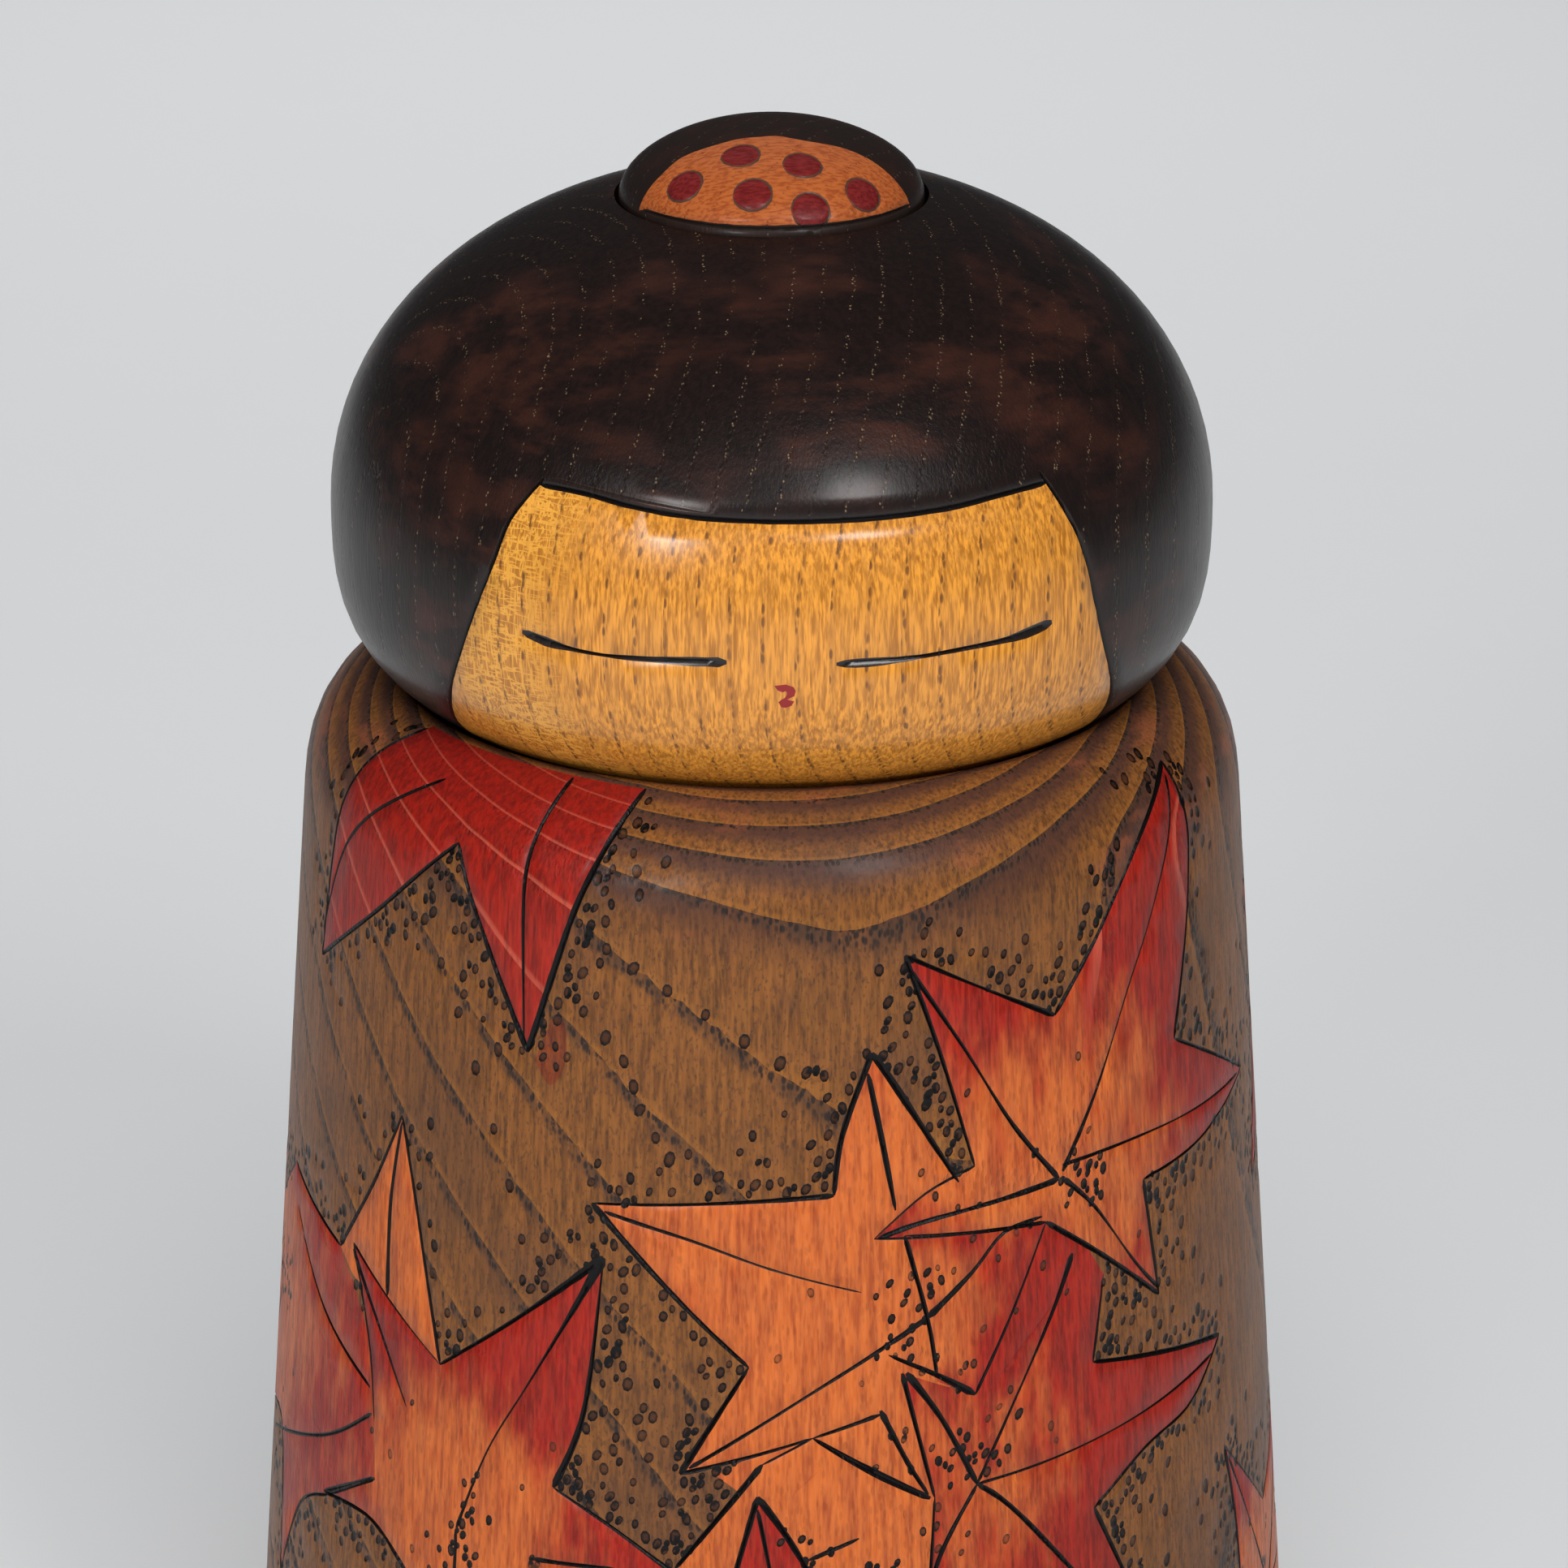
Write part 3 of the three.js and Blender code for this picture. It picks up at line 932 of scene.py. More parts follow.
# Leaves seen from the front, at (degrees from the front, mm up the skin). The tones are
# how red the stain is at the centre and at the tips. Veins have their own strokes.
FRONT_LEAVES = [
    dict(centre=(-84, 60), tones=(0.35, 0.7), sides=[
        side((-78, 72)), side((-62, 69.5), (-55, 63.5), burn=None), side((-53, 53)),
        side((-62.5, 49), (-70, 46)), side((-76.5, 38), (-80, 50)), side((-98, 46)),
        side((-92, 60), (-100, 66)), side((-108, 76), (-94, 72)), side((-87, 67)),
    ], veins=[
        [(0.2, 0.35), (-76, 69), (-65.5, 63.5), (-54.5, 60)],
        [(0.3, 0.35), (-84, 48), (-64, 53.5), (-54, 58)],
        [(0.5, 0.3), (-84, 60), (-97, 47.5)], [(0.5, 0.3), (-84, 60), (-105, 74)],
    ]),
    dict(centre=(-52, 66), tones=(0.1, 0.3), dotted=False, sides=[
        side((-50.5, 82.5), (-47.5, 76)), side((-43, 64.5), burn=None),
        side((-59, 68), burn=None), side((-62, 69.5), (-55.5, 76), burn=(0.4, 0.25)),
    ], veins=[[(0.25, 0.5), (-50.5, 82), (-52, 75.5), (-52, 68)]]),
    dict(centre=(-42, 108), tones=(1.0, 0.95), dotted=False, sides=[
        side((-71, 90.5), (-57, 97), burn=(0.4, 0.3)), side((-43.5, 104.5), burn=(0.3, 0.55)),
        side((-32, 90.5), (-27, 100.5), (-24, 105.5), burn=(0.55, 0.4)),
        side((-20.5, 111.5), (-40, 111.8), burn=None),
        side((-60, 111.8), (-65.5, 107), (-69, 98.5)),
    ], veins=[
        [(0.15, 0.3, 0.35), (-32.5, 91), (-33, 100), (-33, 105.5), (-31.5, 111.5)],
        [(0.2, 0.3, 0.3), (-71, 92.5), (-66.5, 99), (-60.5, 103.5), (-50, 108.5)],
    ]),
    dict(centre=(98, 84), tones=(0.5, 0.9), sides=[
        side((79, 92), (83, 86)), side((81, 80)), side((74, 70), (86, 73), burn=(0.5, 0.3)),
        side((97, 72), burn=(0.3, 0.45)), side((110, 58), (110, 68)),
        side((111, 77), burn=(0.2, 0.4)), side((130, 84), (118, 88)),
        side((108, 91), burn=(0.3, 0.5)), side((102, 106), (96, 99)), side((92, 93)),
    ], veins=[
        [(0.4, 0.2), (98, 84), (80, 91)], [(0.4, 0.2), (98, 84), (77, 71.5)],
        [(0.4, 0.2), (98, 84), (109, 62)], [(0.4, 0.2), (98, 84), (126, 84)],
        [(0.5, 0.2), (98, 84), (101, 103)],
    ]),
    dict(centre=(4, 52), tones=(0.1, 0.7), sides=[
        side((-13.5, 52.5), burn=(0.3, 0.5)), side((-4, 61), burn=(0.2, 0.2)),
        side((1.5, 63), burn=(0.25, 0.5)), side((14.5, 57.5), (17, 50), burn=None),
        side((16, 42)), side((34, 33), (22, 32), burn=(0.5, 0.3)), side((13, 28)),
        side((8, 12), (3, 20), burn=(0.5, 0.2)), side((-3, 27)),
        side((-24, 22), (-14, 30), burn=(0.5, 0.3)), side((-16, 37)),
        side((-30, 46), (-20, 49)),
    ], veins=[
        [(0.45, 0.2), (1, 37), (7, 14)], [(0.45, 0.2), (1, 37), (31, 33.5)],
        [(0.45, 0.2), (1, 37), (-22, 23)], [(0.4, 0.3), (1, 53.5), (6.5, 55)],
    ]),
    dict(centre=(14.5, 71.5), tones=(0.02, 0.3), sides=[
        side((-23.5, 80), (-7.5, 81), burn=(0.2, 0.25, 0.5)),
        side((4, 81.5), (5, 86), burn=(0.4, 0.5)), side((8.5, 92), (11.5, 89), burn=(0.6, 0.3)),
        side((18.5, 81.5), burn=None), side((12, 78), (14.5, 71.5), burn=(0.4, 0.3)),
        side((15.5, 67), burn=(0.3, 0.2)), side((10, 69), (11, 66), burn=None),
        side((14.5, 57.5), (8, 60), burn=(0.55, 0.25)), side((1.5, 63), burn=(0.2, 0.4)),
        side((-13, 60), (-9.5, 64), burn=(0.5, 0.3)),
        side((-5.5, 68.5), (-12, 72.5), burn=(0.3, 0.55)),
    ], veins=[
        [(0.12, 0.2, 0.35), (7, 74), (-3, 76), (-12, 78), (-22, 79.5)],
        [(0.25, 0.5, 0.35), (11, 80), (9.5, 85.5), (8, 90.5)],
        [(0.5, 0.2, 0.35), (14.5, 71.5), (1.5, 66.5), (-12, 60.5)],
        [(0.2, 0.4), (1.5, 63), (9, 64.5)], [(0.5, 0.3), (9, 64.8), (12, 60.5), (14.3, 57.8)],
    ]),
    dict(centre=(14.5, 71.5), tones=(0.3, 0.75), dotted=False, sides=[
        side((12, 78), (14.5, 71.5), burn=None), side((15.5, 66.5), burn=None),
        side((20, 65), (25, 71), burn=(0.3, 0.15)),
        side((29.5, 77), (20, 77.5), burn=(0.35, 0.15)),
    ], veins=[
        [(0.6, 0.3, 0.3), (14.5, 71.5), (20, 74.5), (24, 77), (29, 77.5)],
        [(0.2, 0.4, 0.6), (10, 69), (15.5, 67), (20, 65)],
    ]),
    dict(centre=(20, 58), tones=(0.55, 1.0), sides=[
        side((33.5, 76), burn=None), side((37.5, 71.5), burn=(0.15, 0.3)),
        side((35.5, 65), burn=(0.35, 0.45)),
        side((59, 61.5), (52, 58), (43, 56.5), burn=(0.25, 0.3)),
        side((35, 53.5), burn=(0.4, 0.3)), side((44, 40), (34, 43), burn=(0.5, 0.3)),
        side((25, 46), burn=(0.25, 0.5)), side((12, 41), (14, 49), burn=(0.4, 0.2)),
        side((15, 57.5), burn=(0.25, 0.45)), side((11.5, 67.5), burn=None),
        side((20, 65), (25, 71), burn=None),
    ], veins=[
        [(0.55, 0.2, 0.3), (33, 74), (30.5, 70.5), (24.5, 63.5), (20, 58)],
        [(0.25, 0.15, 0.3), (20, 58), (29.5, 58.5), (44.5, 59.5), (57, 60.5)],
        [(0.45, 0.3), (20, 58), (25.5, 54.5), (40, 42)],
        [(0.3, 0.5), (20, 58), (15, 52), (13, 44)],
        [(0.6, 0.4, 0.5), (12, 67.5), (16, 63.5), (20, 58)],
    ]),
    dict(centre=(31.5, 80), tones=(0.35, 1.0), sides=[
        side((57, 107.5), (46, 103), (37, 96.5), burn=(0.5, 0.3, 0.4)),
        side((31.5, 92.5), burn=(0.55, 0.2, 0.4)),
        side((12.5, 99), (16.5, 91.5), burn=(0.45, 0.2)),
        side((20.5, 82.5), (14.5, 81), burn=(0.25, 0.12)),
        side((8.5, 78), (18, 77.5), burn=(0.2, 0.15, 0.35)),
        side((29.5, 77), (37.5, 73), burn=(0.45, 0.4)), side((46.5, 68), burn=(0.3, 0.4)),
        side((44.5, 77.5), (56.5, 78), burn=(0.3, 0.15)), side((71, 80)),
        side((51.5, 87), (55.5, 95.5), (57, 102.5), burn=(0.4, 0.25, 0.35)),
    ], veins=[
        [(0.5, 0.2, 0.4), (31.5, 80), (25.5, 85), (19.5, 91.5), (13, 98)],
        [(0.5, 0.15, 0.15, 0.3), (32, 80.5), (37, 85.5), (43, 92.5), (48, 97.5), (56, 106.5)],
        [(0.35, 0.15, 0.25), (32, 81), (43.5, 81), (57, 80.5), (69, 80)],
        [(0.6, 0.3, 0.5), (31.5, 80), (15.5, 79), (9, 78)],
        [(0.5, 0.15, 0.4), (32, 80), (36.5, 77), (42.5, 71.5), (46.5, 68.5)],
    ]),
    dict(centre=(-40, 52), tones=(0.25, 1.0), sides=[
        side((-22, 76), (-32.5, 70), burn=(0.8, 0.3, 0.3)), side((-43, 64.5), burn=(0.1, 0.3)),
        side((-59, 70.5), (-55, 63.5), burn=(0.35, 0.15)), side((-53.5, 57.5), burn=None),
        side((-53, 53), burn=(0.45, 0.4)), side((-63.5, 49), (-53, 49.5), burn=(0.3, 0.5)),
        side((-44, 45), burn=(0.5, 0.3)), side((-40, 30), (-34, 37), burn=(0.6, 0.3)),
        side((-28, 45), burn=(0.3, 0.3)), side((-11, 51), (-20, 55), burn=(0.45, 0.2)),
        side((-27.5, 57.5), (-24, 64), burn=(0.6, 0.12)),
    ], veins=[
        [(0.9, 0.3, 0.15, 0.15, 0.3), (-22, 76), (-26, 71), (-31, 65), (-36, 59), (-40, 52)],
        [(0.5, 0.15), (-59, 70), (-53, 65), (-48, 60)], [(0.4, 0.3), (-30, 51.5), (-20, 52)],
        [(0.3, 0.4), (-40, 52), (-40, 34)],
    ]),
    dict(centre=(-2, 44), tones=(1.0, 0.95), dotted=False, sides=[
        side((-4.5, 58.5), (-1, 55), burn=(0.6, 0.3)), side((3, 50)), side((6, 38), (0, 43)),
        side((-3, 45)), side((-12, 40), (-9, 47)), side((-7.5, 51), burn=(0.3, 0.5)),
    ], veins=[[(0.35, 0.25), (-4.5, 57.5), (-2.5, 50), (-2, 45)]]),
]

# Leaves drawn round the rest of the torso: centre, reach, turn and the two tones.
ROUND_LEAVES = [
    ((72, 36), 20, 30, (0.1, 0.9)),
    ((140, 92), 17, 150, (0.9, 0.95)),
    ((146, 58), 22, -20, (0.0, 0.4)),
    ((178, 80), 20, 60, (0.3, 1.0)),
    ((-152, 97), 17, 200, (0.95, 0.95)),
    ((-162, 54), 22, 10, (0.05, 0.9)),
    ((-126, 74), 21, 100, (0.1, 0.9)),
    ((-130, 36), 19, -40, (0.6, 0.95)),
    ((110, 28), 20, 140, (0.5, 0.95)),
    ((178, 26), 19, 190, (0.1, 0.9)),
    ((-88, 20), 19, 70, (0.0, 0.5)),
    ((-54, 12), 17, -30, (0.5, 0.95)),
    ((42, 12), 19, 200, (0.1, 0.7)),
]

# Red stain that ran past a burnt edge.
SPILLS = [[(-31, 90), (-28.7, 93.5), (-27.2, 93), (-27.2, 90), (-29, 88.3), (-31, 90)]]

# Stain under the places where leaves meet: how red it is, and the area.
FILLS = [
    (0.3, [(9, 69.5), (17, 66), (17.5, 56), (12, 53.5), (8, 59)]),
    (0.3, [(-9, 60), (1.5, 64), (3, 61), (-3, 57)]),
    (0.9, [(20, 64), (24, 71), (29, 78.5), (35, 77), (31, 71)]),
]

# Rows of larger dimples along growth rings: spacing in mm, then the places.
RING_ROWS = [
    (3.2, [(-24.5, 100), (-19, 98), (-10.5, 95), (-2, 91.5), (3, 90.5)]),
    (2.4, [(-27, 95.5), (-20, 91), (-18, 87.5), (-14.5, 84)]),
    (3.6, [(-21.5, 70.5), (-19, 66.5), (-16.5, 61), (-13.5, 55)]),
    (4.5, [(-50, 100), (-42, 92), (-34, 80), (-30, 70)]),
    (4.0, [(118, 100), (130, 90), (140, 78)]),
    (4.5, [(-170, 72), (-176, 60), (178, 46)]),
]


def star_leaf(surface, chance, centre, reach, turn, tones):
    """A leaf of long uneven lobes round a centre, with a vein down each."""
    count = chance.choice((5, 6))
    headings = [turn + (i + chance.uniform(-0.12, 0.12)) * 360 / count for i in range(count)]
    tips, notches = [], []
    for i, heading in enumerate(headings):
        angle = math.radians(heading)
        length = reach * chance.uniform(0.72, 1.1)
        tips.append(surface.shifted(centre, length * math.sin(angle), length * math.cos(angle)))
        angle += math.radians(180 / count + chance.uniform(-6, 6))
        length = reach * chance.uniform(0.34, 0.46)
        notches.append(surface.shifted(centre, length * math.sin(angle), length * math.cos(angle)))
    corners = [place for pair in zip(tips, notches) for place in pair]
    sides = []
    for start, end in zip(corners, corners[1:] + corners[:1]):
        run, rise = surface.apart(start, end)
        middle = ((start[0] + end[0]) / 2, (start[1] + end[1]) / 2)
        bow = chance.uniform(0, 0.05)
        middle = surface.shifted(middle, rise * bow, -run * bow)
        widths = chance.choice(((0.5, 0.25), (0.3, 0.45), (0.25, 0.15), (0.4, 0.2, 0.4)))
        sides.append(side(start, middle, burn=widths))
    veins = []
    for tip in tips:
        start, end = (
            tuple(c + (t - c) * share for c, t in zip(centre, tip)) for share in (0.02, 0.93)
        )
        veins.append([chance.choice(((0.5, 0.15, 0.35), (0.4, 0.15), (0.5, 0.3))), start, end])
    return dict(centre=centre, tones=tones, sides=sides, veins=veins)


def leaf_tone(surface, centre, tones, reach):
    def tone(place):
        share = math.hypot(*surface.apart(centre, place)) / reach
        share = min(max((share - 0.22) / 0.4, 0), 1)
        return tones[0] + (tones[1] - tones[0]) * share
    return tone


def draw_leaf(drawing, leaf):
    """Stains one leaf and burns its edges and veins."""
    surface = drawing.surface
    sides = leaf["sides"]
    loop = []
    for (places, widths), (following, _) in zip(sides, sides[1:] + sides[:1]):
        edge = [*places, following[0]]
        loop += curve_through(surface, edge)[:-1]
        if widths:
            drawing.stroke(edge, widths)
    loop = [(a, min(max(s, surface.low + 0.1), surface.high - 0.1)) for a, s in loop]
    reach = max(math.hypot(*surface.apart(leaf["centre"], place)) for place in loop)
    drawing.stain(loop, leaf_tone(surface, leaf["centre"], leaf["tones"], reach))
    for widths, *places in leaf["veins"]:
        drawing.stroke(places, widths, depth=0.16)
    return Area(loop)


def dot_leaf_middle(drawing, centre):
    """Loose clusters of dots about the meeting of the veins, and a few strays."""
    surface, chance = drawing.surface, drawing.random
    for _ in range(CLUSTERS):
        middle = surface.around(centre, 2.4, chance.uniform(0, math.tau))
        for _ in range(CLUSTER_DOTS):
            place = surface.shifted(middle, chance.gauss(0, 1.1), chance.gauss(0, 1.1))
            drawing.dot(place, chance.uniform(0.26, 0.42), chance.uniform(0.8, 1.1), 0.12)
    for _ in range(STRAY_DOTS):
        turn, away = chance.uniform(0, math.tau), chance.uniform(3, 12)
        place = surface.around(centre, away, turn)
        drawing.dot(place, chance.uniform(0.24, 0.38), chance.uniform(0.5, 0.8), 0.1)


def stipple_ground(drawing, areas, covered):
    """Crowds dots on the ground along every leaf edge, thinning out away from it."""
    surface, chance = drawing.surface, drawing.random
    for area in areas:
        density = DOT_DENSITY
        for a, b in zip(area.loop, area.loop[1:] + area.loop[:1]):
            run, rise = surface.apart(a, b)
            length = max(math.hypot(run, rise), 0.01)
            density += chance.uniform(-1.5, 1.5)
            density = min(max(density, SPARSE), DENSE)
            for _ in range(int(length * density + chance.random())):
                along, way = chance.random(), chance.choice((-1, 1))
                away = way * (0.45 + min(chance.expovariate(0.9), 4.5)) / length
                place = (a[0] + (b[0] - a[0]) * along, a[1] + rise * along)
                place = surface.shifted(place, rise * away, -run * away)
                if not any(other.holds(place) for other in covered):
                    size = chance.uniform(0.28, 0.48)
                    drawing.dot(place, size, chance.uniform(0.7, 1.0), 0.16)


def draw_torso(surface, seed):
    drawing = Drawing(surface, seed)
    leaves = [star_leaf(surface, drawing.random, *leaf) for leaf in ROUND_LEAVES]
    leaves += FRONT_LEAVES
    for spill in SPILLS:
        drawing.stain(curve_through(surface, spill), 1.0, 0.5)
    fills = []
    for red, loop in FILLS:
        drawing.stain(loop, red)
        fills.append(Area(loop))
    areas = [draw_leaf(drawing, leaf) for leaf in leaves]
    for spacing, places in RING_ROWS:
        for place in curve_through(surface, places, spacing):
            if not any(area.holds(place) for area in areas):
                drawing.dot(place, drawing.random.uniform(0.4, 0.55), 0.8, 0.22)
    for leaf in leaves:
        if leaf.get("dotted", True):
            dot_leaf_middle(drawing, leaf["centre"])
    stipple_ground(drawing, areas, areas + fills)
    return drawing


class KOKESHI_OT_torso(bpy.types.Operator):
    """Make the torso with its burnt and stained maple leaves"""
    bl_idname = "kokeshi.torso"
    bl_label = "Make Torso"

    def execute(self, context):
        torso, head = context.scene.kokeshi.torso, context.scene.kokeshi.head
        dish = Turned(dish_outline(torso, head)[::-1])
        outline = shoulder_outline(torso)
        ease = torso.rim_ease / MM
        rim = next(
            r for r, z in reversed(outline)
            if z <= np.interp(r, dish.radii, dish.heights)
        )
        outline = [p for p in outline if p[0] >= rim + ease]
        surface = Turned(outline, start=torso.foot_chamfer / MM)
        bm = drawn_skin(surface, draw_torso(surface, torso.seed))

        chamfer = torso.foot_chamfer / MM
        foot = torso.foot_radius / MM - chamfer
        carry_on(bm, rim_edges(bm, surface.heights[0]), [(foot, 0), (foot * 0.5, 0), (1, 0)])
        bore, floor = torso.bore_radius / MM, float(dish.heights[0])
        seat = [
            (r, z) for r, z in zip(dish.radii[::-1], dish.heights[::-1])
            if bore < r < rim - ease
        ]
        bottom = floor - torso.bore_depth / MM
        seat += [(bore, float(np.interp(bore, dish.radii, dish.heights))), (bore, bottom)]
        carry_on(bm, rim_edges(bm, surface.heights[-1]), seat)
        finish_piece(bm, "torso", torso_finish(torso), "torso", ["body"])
        return {"FINISHED"}


# ---------------------------------------------------------------- head

# Places on the head are (degrees from the front, height in mm).
HAIRLINE = [
    (-35, 130.9), (-28, 130.8), (-21, 130.35), (-12.5, 130), (2, 129.85), (18, 129.95),
    (28, 130.25), (36, 130.4),
]
OVER_HAIRLINE = [(-33, 131.4), (-22, 130.9), (-11, 130.3)]
LEFT_SIDE = [
    (-34.4, 131.4), (-38.3, 128.3), (-40.2, 125), (-43.6, 120.5), (-46.2, 117.3),
    (-49.5, 113.8), (-53, 110.4), (-56, 107.5),
]
RIGHT_SIDE = [
    (35.2, 131.2), (39.4, 126.3), (41.7, 121.5), (44.1, 117.4), (48.5, 112.5), (53, 107.5),
]
LEFT_EYE = [(-35.3, 120.6), (-30.4, 120.1), (-24, 119.9), (-16, 120), (-8.4, 120.1)]
RIGHT_EYE = [(5, 119.9), (12.6, 119.9), (21.4, 120.1), (28.6, 120.25), (34.2, 120.75)]
FACE_FOOT = 106           # height where the face's stain ends, out of sight under the chin
MOUTH_CENTRE = (-1.2, 117.6)
MOUTH = [  # mm round and up the skin from the mouth's centre
    (-0.8, 0.8), (0, 0.9), (0.55, 0.7), (0.7, 0.4), (0.6, 0), (0.3, -0.15), (0.1, -0.25),
    (0.6, -0.4), (0.4, -0.75), (0, -0.9), (-0.3, -0.85), (-0.5, -0.45), (-0.3, -0.25),
    (-0.1, -0.15), (0.05, 0.05), (0.1, 0.25), (0, 0.4), (-0.2, 0.3), (-0.55, 0.45),
]


def head_outline(head):
    """From the dowel's bore, round the chin and up to the rim of the topknot's recess."""
    bore, recess = head.bore_radius / MM, head.recess_radius / MM
    crown = quarter(head.radius / MM, head.crown_rise / MM, head.crown_power)[1:-1]
    crown = [(radius, head.equator / MM + rise) for radius, rise in crown]
    chin = [p for p in chin_points(head)[::-1] if p[0] >= bore]
    return chin + [p for p in crown if p[0] >= recess]


def draw_head(surface, seed):
    drawing = Drawing(surface, seed)
    hairline, left, right = map(surface.at_heights, (HAIRLINE, LEFT_SIDE, RIGHT_SIDE))
    low = surface.arc_at(FACE_FOOT)
    under = [(56 - i * 3, low) for i in range(39)]
    loop = curve_through(surface, hairline) + curve_through(surface, right[1:])
    loop += under + curve_through(surface, left[1:][::-1])
    drawing.stain(loop, 0.0)
    drawing.stroke(hairline, (0.5, 0.45, 0.55, 0.5), 1.0, 0.3)
    drawing.stroke(surface.at_heights(OVER_HAIRLINE), (0.2, 0.3, 0.15), 0.9, 0.06)
    drawing.stroke(left, (0.3, 0.5, 0.45, 0.5), 1.0, 0.3)
    drawing.stroke(right, (0.3, 0.5, 0.45, 0.5), 1.0, 0.3)
    for eye, widths in (
        (LEFT_EYE, (0.55, 0.8, 0.35, 0.25, 0.35, 0.45, 0.8, 0.65)),
        (RIGHT_EYE, (0.55, 0.7, 0.4, 0.3, 0.35, 0.4, 0.75, 0.75)),
    ):
        drawing.stroke(surface.at_heights(eye), widths, 0.95, 0.25)
    centre, = surface.at_heights([MOUTH_CENTRE])
    drawing.stain([surface.shifted(centre, *offset) for offset in MOUTH], 1.0)
    return drawing


class KOKESHI_OT_head(bpy.types.Operator):
    """Make the head with its carved hairline, eyes and mouth"""
    bl_idname = "kokeshi.head"
    bl_label = "Make Head"

    def execute(self, context):
        head = context.scene.kokeshi.head
        surface = Turned(head_outline(head))
        bm = drawn_skin(surface, draw_head(surface, head.seed))
        low, high = float(surface.heights[0]), float(surface.heights[-1])
        bore, recess = float(surface.radii[0]), float(surface.radii[-1])
        peg, floor = head.peg_radius / MM, high - head.recess_depth / MM
        carry_on(bm, rim_edges(bm, low), [(bore, low + head.bore_depth / MM)])
        carry_on(bm, rim_edges(bm, high), [
            (recess, floor), (peg, floor), (peg, floor - head.peg_depth / MM),
        ])
        finish_piece(bm, "head_blank", head_finish(head), "head_assembly", ["head"])
        return {"FINISHED"}


# ---------------------------------------------------------------- topknot

# Places on the topknot are (degrees from the front, height in mm).
COMB_TOP = [
    (-62, 144.8), (-60.5, 147.2), (-59, 148.5), (-40, 149.4), (-14, 149.58), (11, 149.58),
    (45, 149.1), (57, 148.3), (60, 146.5), (61, 144.8),
]
COMB_SPOTS = [
    (-43.5, 147.1), (-24, 148.9), (-11, 147.1), (15, 148.5), (12.5, 146.1), (37.5, 146.6),
]
SPOT_RADIUS, SPOT_POINTS = 1.35, 20
COMB_FOOT = 0.5           # mm from the recess's rim up to the comb's lower edge
KNOT_STEP = 0.7           # mm between plain vertices of the dome


class KOKESHI_OT_topknot(bpy.types.Operator):
    """Make the topknot dome with its spotted comb"""
    bl_idname = "kokeshi.topknot"
    bl_label = "Make Topknot"

    def execute(self, context):
        knot = context.scene.kokeshi.topknot
        low, high = (corner.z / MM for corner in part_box("topknot"))
        rim = high - knot.rise / MM
        radius, ease = knot.radius / MM, knot.ease / MM
        dome = quarter(radius, knot.rise / MM, knot.power)[1:]
        outline = [(radius, low + ease), (radius, rim)]
        surface = Turned(outline + [(max(r, 0), rim + z) for r, z in dome])
        drawing = Drawing(surface, knot.seed)
        top = surface.at_heights(COMB_TOP)
        base = [(61 - i * 6, surface.arc_at(rim + COMB_FOOT)) for i in range(21)]
        loop = curve_through(surface, top, 0.5) + base[1:]
        drawing.stain(loop, 0.0)
        drawing.stroke(base, (0.3, 0.5, 0.3), 1.0, 0.15)
        for centre in surface.at_heights(COMB_SPOTS):
            spot = drawing.round_places(centre, SPOT_RADIUS, SPOT_POINTS, SPOT_POINTS)
            drawing.stain(spot, 1.0)
            drawing.ring(centre, SPOT_RADIUS + 0.05, 0.24, 0.6, 0.12)
        bm = drawn_skin(surface, drawing, step=KNOT_STEP, top_open=False)
        bore = knot.bore_radius / MM
        carry_on(bm, rim_edges(bm, low + ease), [
            (radius - ease, low), (bore, low), (bore, low + knot.bore_depth / MM),
        ])
        finish_piece(
            bm, "topknot_dome", topknot_finish(knot), "head_assembly", ["topknot"],
        )
        return {"FINISHED"}


class KOKESHI_OT_dowels(bpy.types.Operator):
    """Give the neck dowel and the topknot's peg their bare wood"""
    bl_idname = "kokeshi.dowels"
    bl_label = "Finish Dowels"

    def execute(self, context):
        bare = dowel_finish()
        for name in ("neck_dowel", "topknot_peg"):
            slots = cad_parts[name].material_slots
            for slot in slots:
                slot.material = bare
        return {"FINISHED"}


# ---------------------------------------------------------------- stage

# Lamps: name of the lamp and of its power, where it aims (None is the doll), degrees round
# from the front and above level, distance and size in metres, whether it is mirrored.
LAMPS = [
    ("soft_lamp", None, -2, 52, 0.8, 0.4, False),
    ("key_lamp", None, 22, 37, 0.7, 0.17, True),
    ("fill_lamp", None, -30, 22, 0.7, 0.13, True),
    ("back_lamp", None, 180, 30, 0.9, 0.5, False),
    ("floor_lamp", Vector((0, 0.8, 0)), 0, 85, 0.8, 0.9, False),
]
SKY_COLOUR = (0.86, 0.93, 1.0, 1)


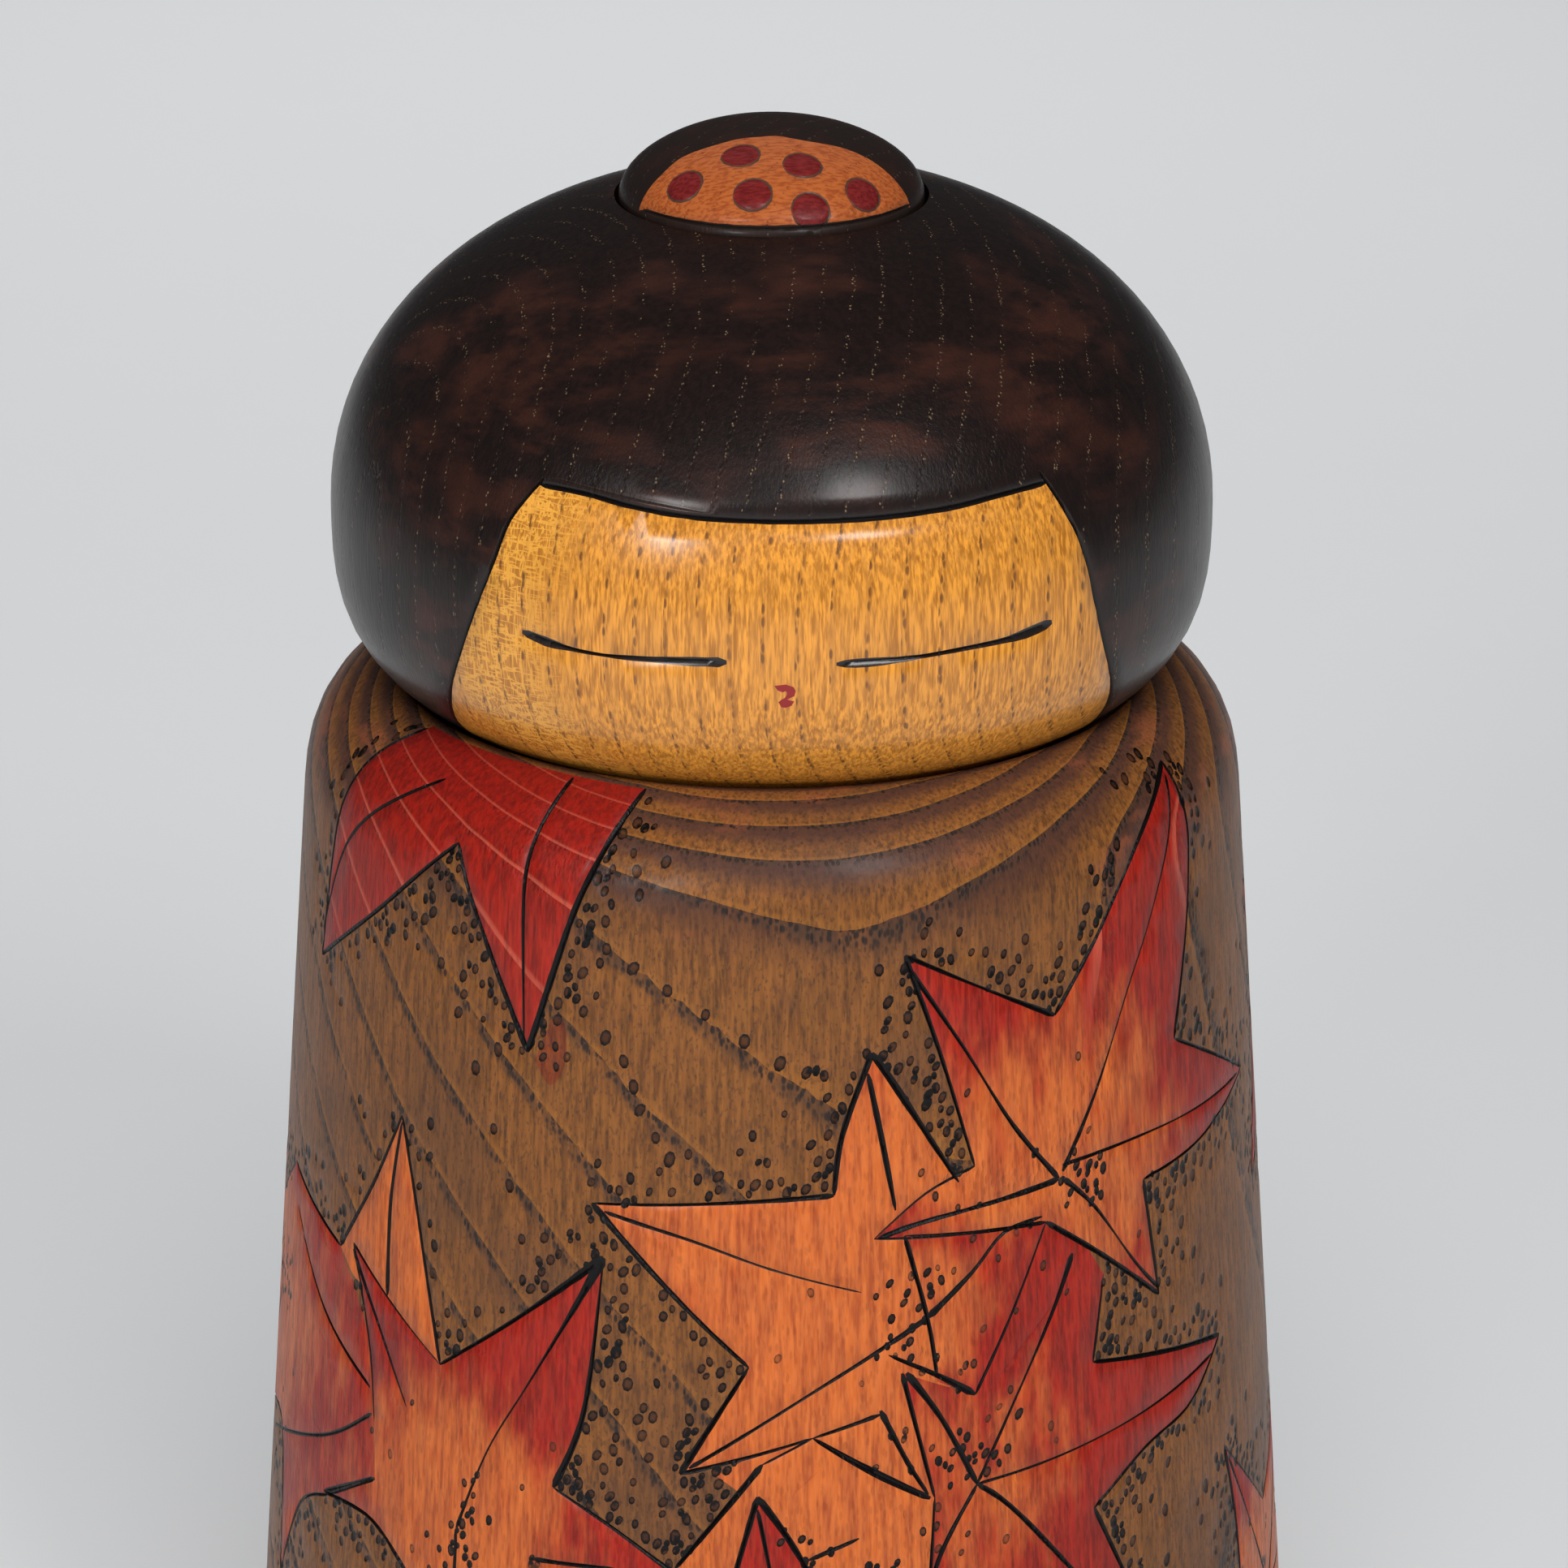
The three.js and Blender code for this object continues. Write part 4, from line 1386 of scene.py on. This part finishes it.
class KOKESHI_OT_stage(bpy.types.Operator):
    """Set up the floor, the lamps and the camera"""
    bl_idname = "kokeshi.stage"
    bl_label = "Set Stage"

    def execute(self, context):
        stage = context.scene.kokeshi.stage
        bm = bmesh.new()
        bmesh.ops.create_grid(bm, x_segments=1, y_segments=1, size=FLOOR_SIZE)
        mesh = bpy.data.meshes.new("floor")
        bm.to_mesh(mesh)
        bm.free()
        floor = bpy.data.objects.new("floor", mesh)
        context.scene.collection.objects.link(floor)
        floor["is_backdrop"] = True
        paper = Finish("paper_floor")
        grain = paper.noise(paper.place, 0.05, 2.0)
        tone = paper.mix(grain * 0.1, stage.floor, PAPER_SHADE)
        mesh.materials.append(paper.surface(tone, 0.8, grain, 0.01, 0.0))

        aim = Vector((0, 0, stage.aim_height))
        for name, target, *settings in LAMPS:
            self.lamp(context, name, getattr(stage, name), target or aim, *settings)

        world = bpy.data.worlds.new("studio")
        context.scene.world = world
        world.use_nodes = True
        sky = world.node_tree.nodes["Background"]
        sky.inputs["Color"].default_value = SKY_COLOUR
        sky.inputs["Strength"].default_value = stage.sky
        context.scene.view_settings.view_transform = "Standard"

        data = bpy.data.cameras.new("camera")
        data.lens = stage.lens
        data.sensor_width = SENSOR_WIDTH
        data.clip_start = CLIP_START
        camera = bpy.data.objects.new("camera", data)
        context.scene.collection.objects.link(camera)
        side = Vector((math.cos(stage.turn), math.sin(stage.turn), 0)) * stage.aim_side
        back = self.heading(stage.turn, stage.elevation)
        camera.location = aim + side + back * stage.distance
        camera.rotation_euler = back.to_track_quat("Z", "Y").to_euler()
        context.scene.camera = camera
        return {"FINISHED"}

    @staticmethod
    def heading(turn, elevation):
        """Unit vector from the doll towards a place, turned from the front towards +X."""
        level = math.cos(elevation)
        return Vector((level * math.sin(turn), -level * math.cos(turn), math.sin(elevation)))

    def lamp(self, context, name, power, aim, turn, elevation, distance, size, mirrored):
        data = bpy.data.lights.new(name, "AREA")
        data.shape = "DISK"
        data.size = size
        data.energy = power
        lamp = bpy.data.objects.new(name, data)
        context.scene.collection.objects.link(lamp)
        back = self.heading(math.radians(turn), math.radians(elevation))
        lamp.location = aim + back * distance
        lamp.rotation_euler = back.to_track_quat("Z", "Y").to_euler()
        lamp.visible_glossy = mirrored


class KOKESHI_PT_panel(bpy.types.Panel):
    """Sizes, colours and steps of the kokeshi doll"""
    bl_idname = "KOKESHI_PT_panel"
    bl_label = "Kokeshi Doll"
    bl_space_type = "VIEW_3D"
    bl_region_type = "UI"
    bl_category = "Kokeshi"

    def draw(self, context):
        settings = context.scene.kokeshi
        for group in ("torso", "head", "topknot", "stage"):
            box = self.layout.box()
            values = getattr(settings, group)
            for name in values.__annotations__:
                box.prop(values, name)
            box.operator("kokeshi." + group)
        self.layout.operator("kokeshi.dowels")


CLASSES = (
    KokeshiTorsoSettings, KokeshiHeadSettings, KokeshiTopknotSettings, KokeshiStageSettings,
    KokeshiSettings, KOKESHI_OT_torso, KOKESHI_OT_head, KOKESHI_OT_topknot,
    KOKESHI_OT_dowels, KOKESHI_OT_stage, KOKESHI_PT_panel,
)


def register():
    for cls in CLASSES:
        bpy.utils.register_class(cls)
    bpy.types.Scene.kokeshi = PointerProperty(type=KokeshiSettings)


def unregister():
    del bpy.types.Scene.kokeshi
    for cls in reversed(CLASSES):
        bpy.utils.unregister_class(cls)


def main():
    register()
    for step in ("stage", "torso", "head", "topknot", "dowels"):
        getattr(bpy.ops.kokeshi, step)()
    boxes = {"cad": cad_box, "visual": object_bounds()}
    {k: [list(corner) for corner in box] for k, box in boxes.items()}


if __name__ == "__main__":
    main()
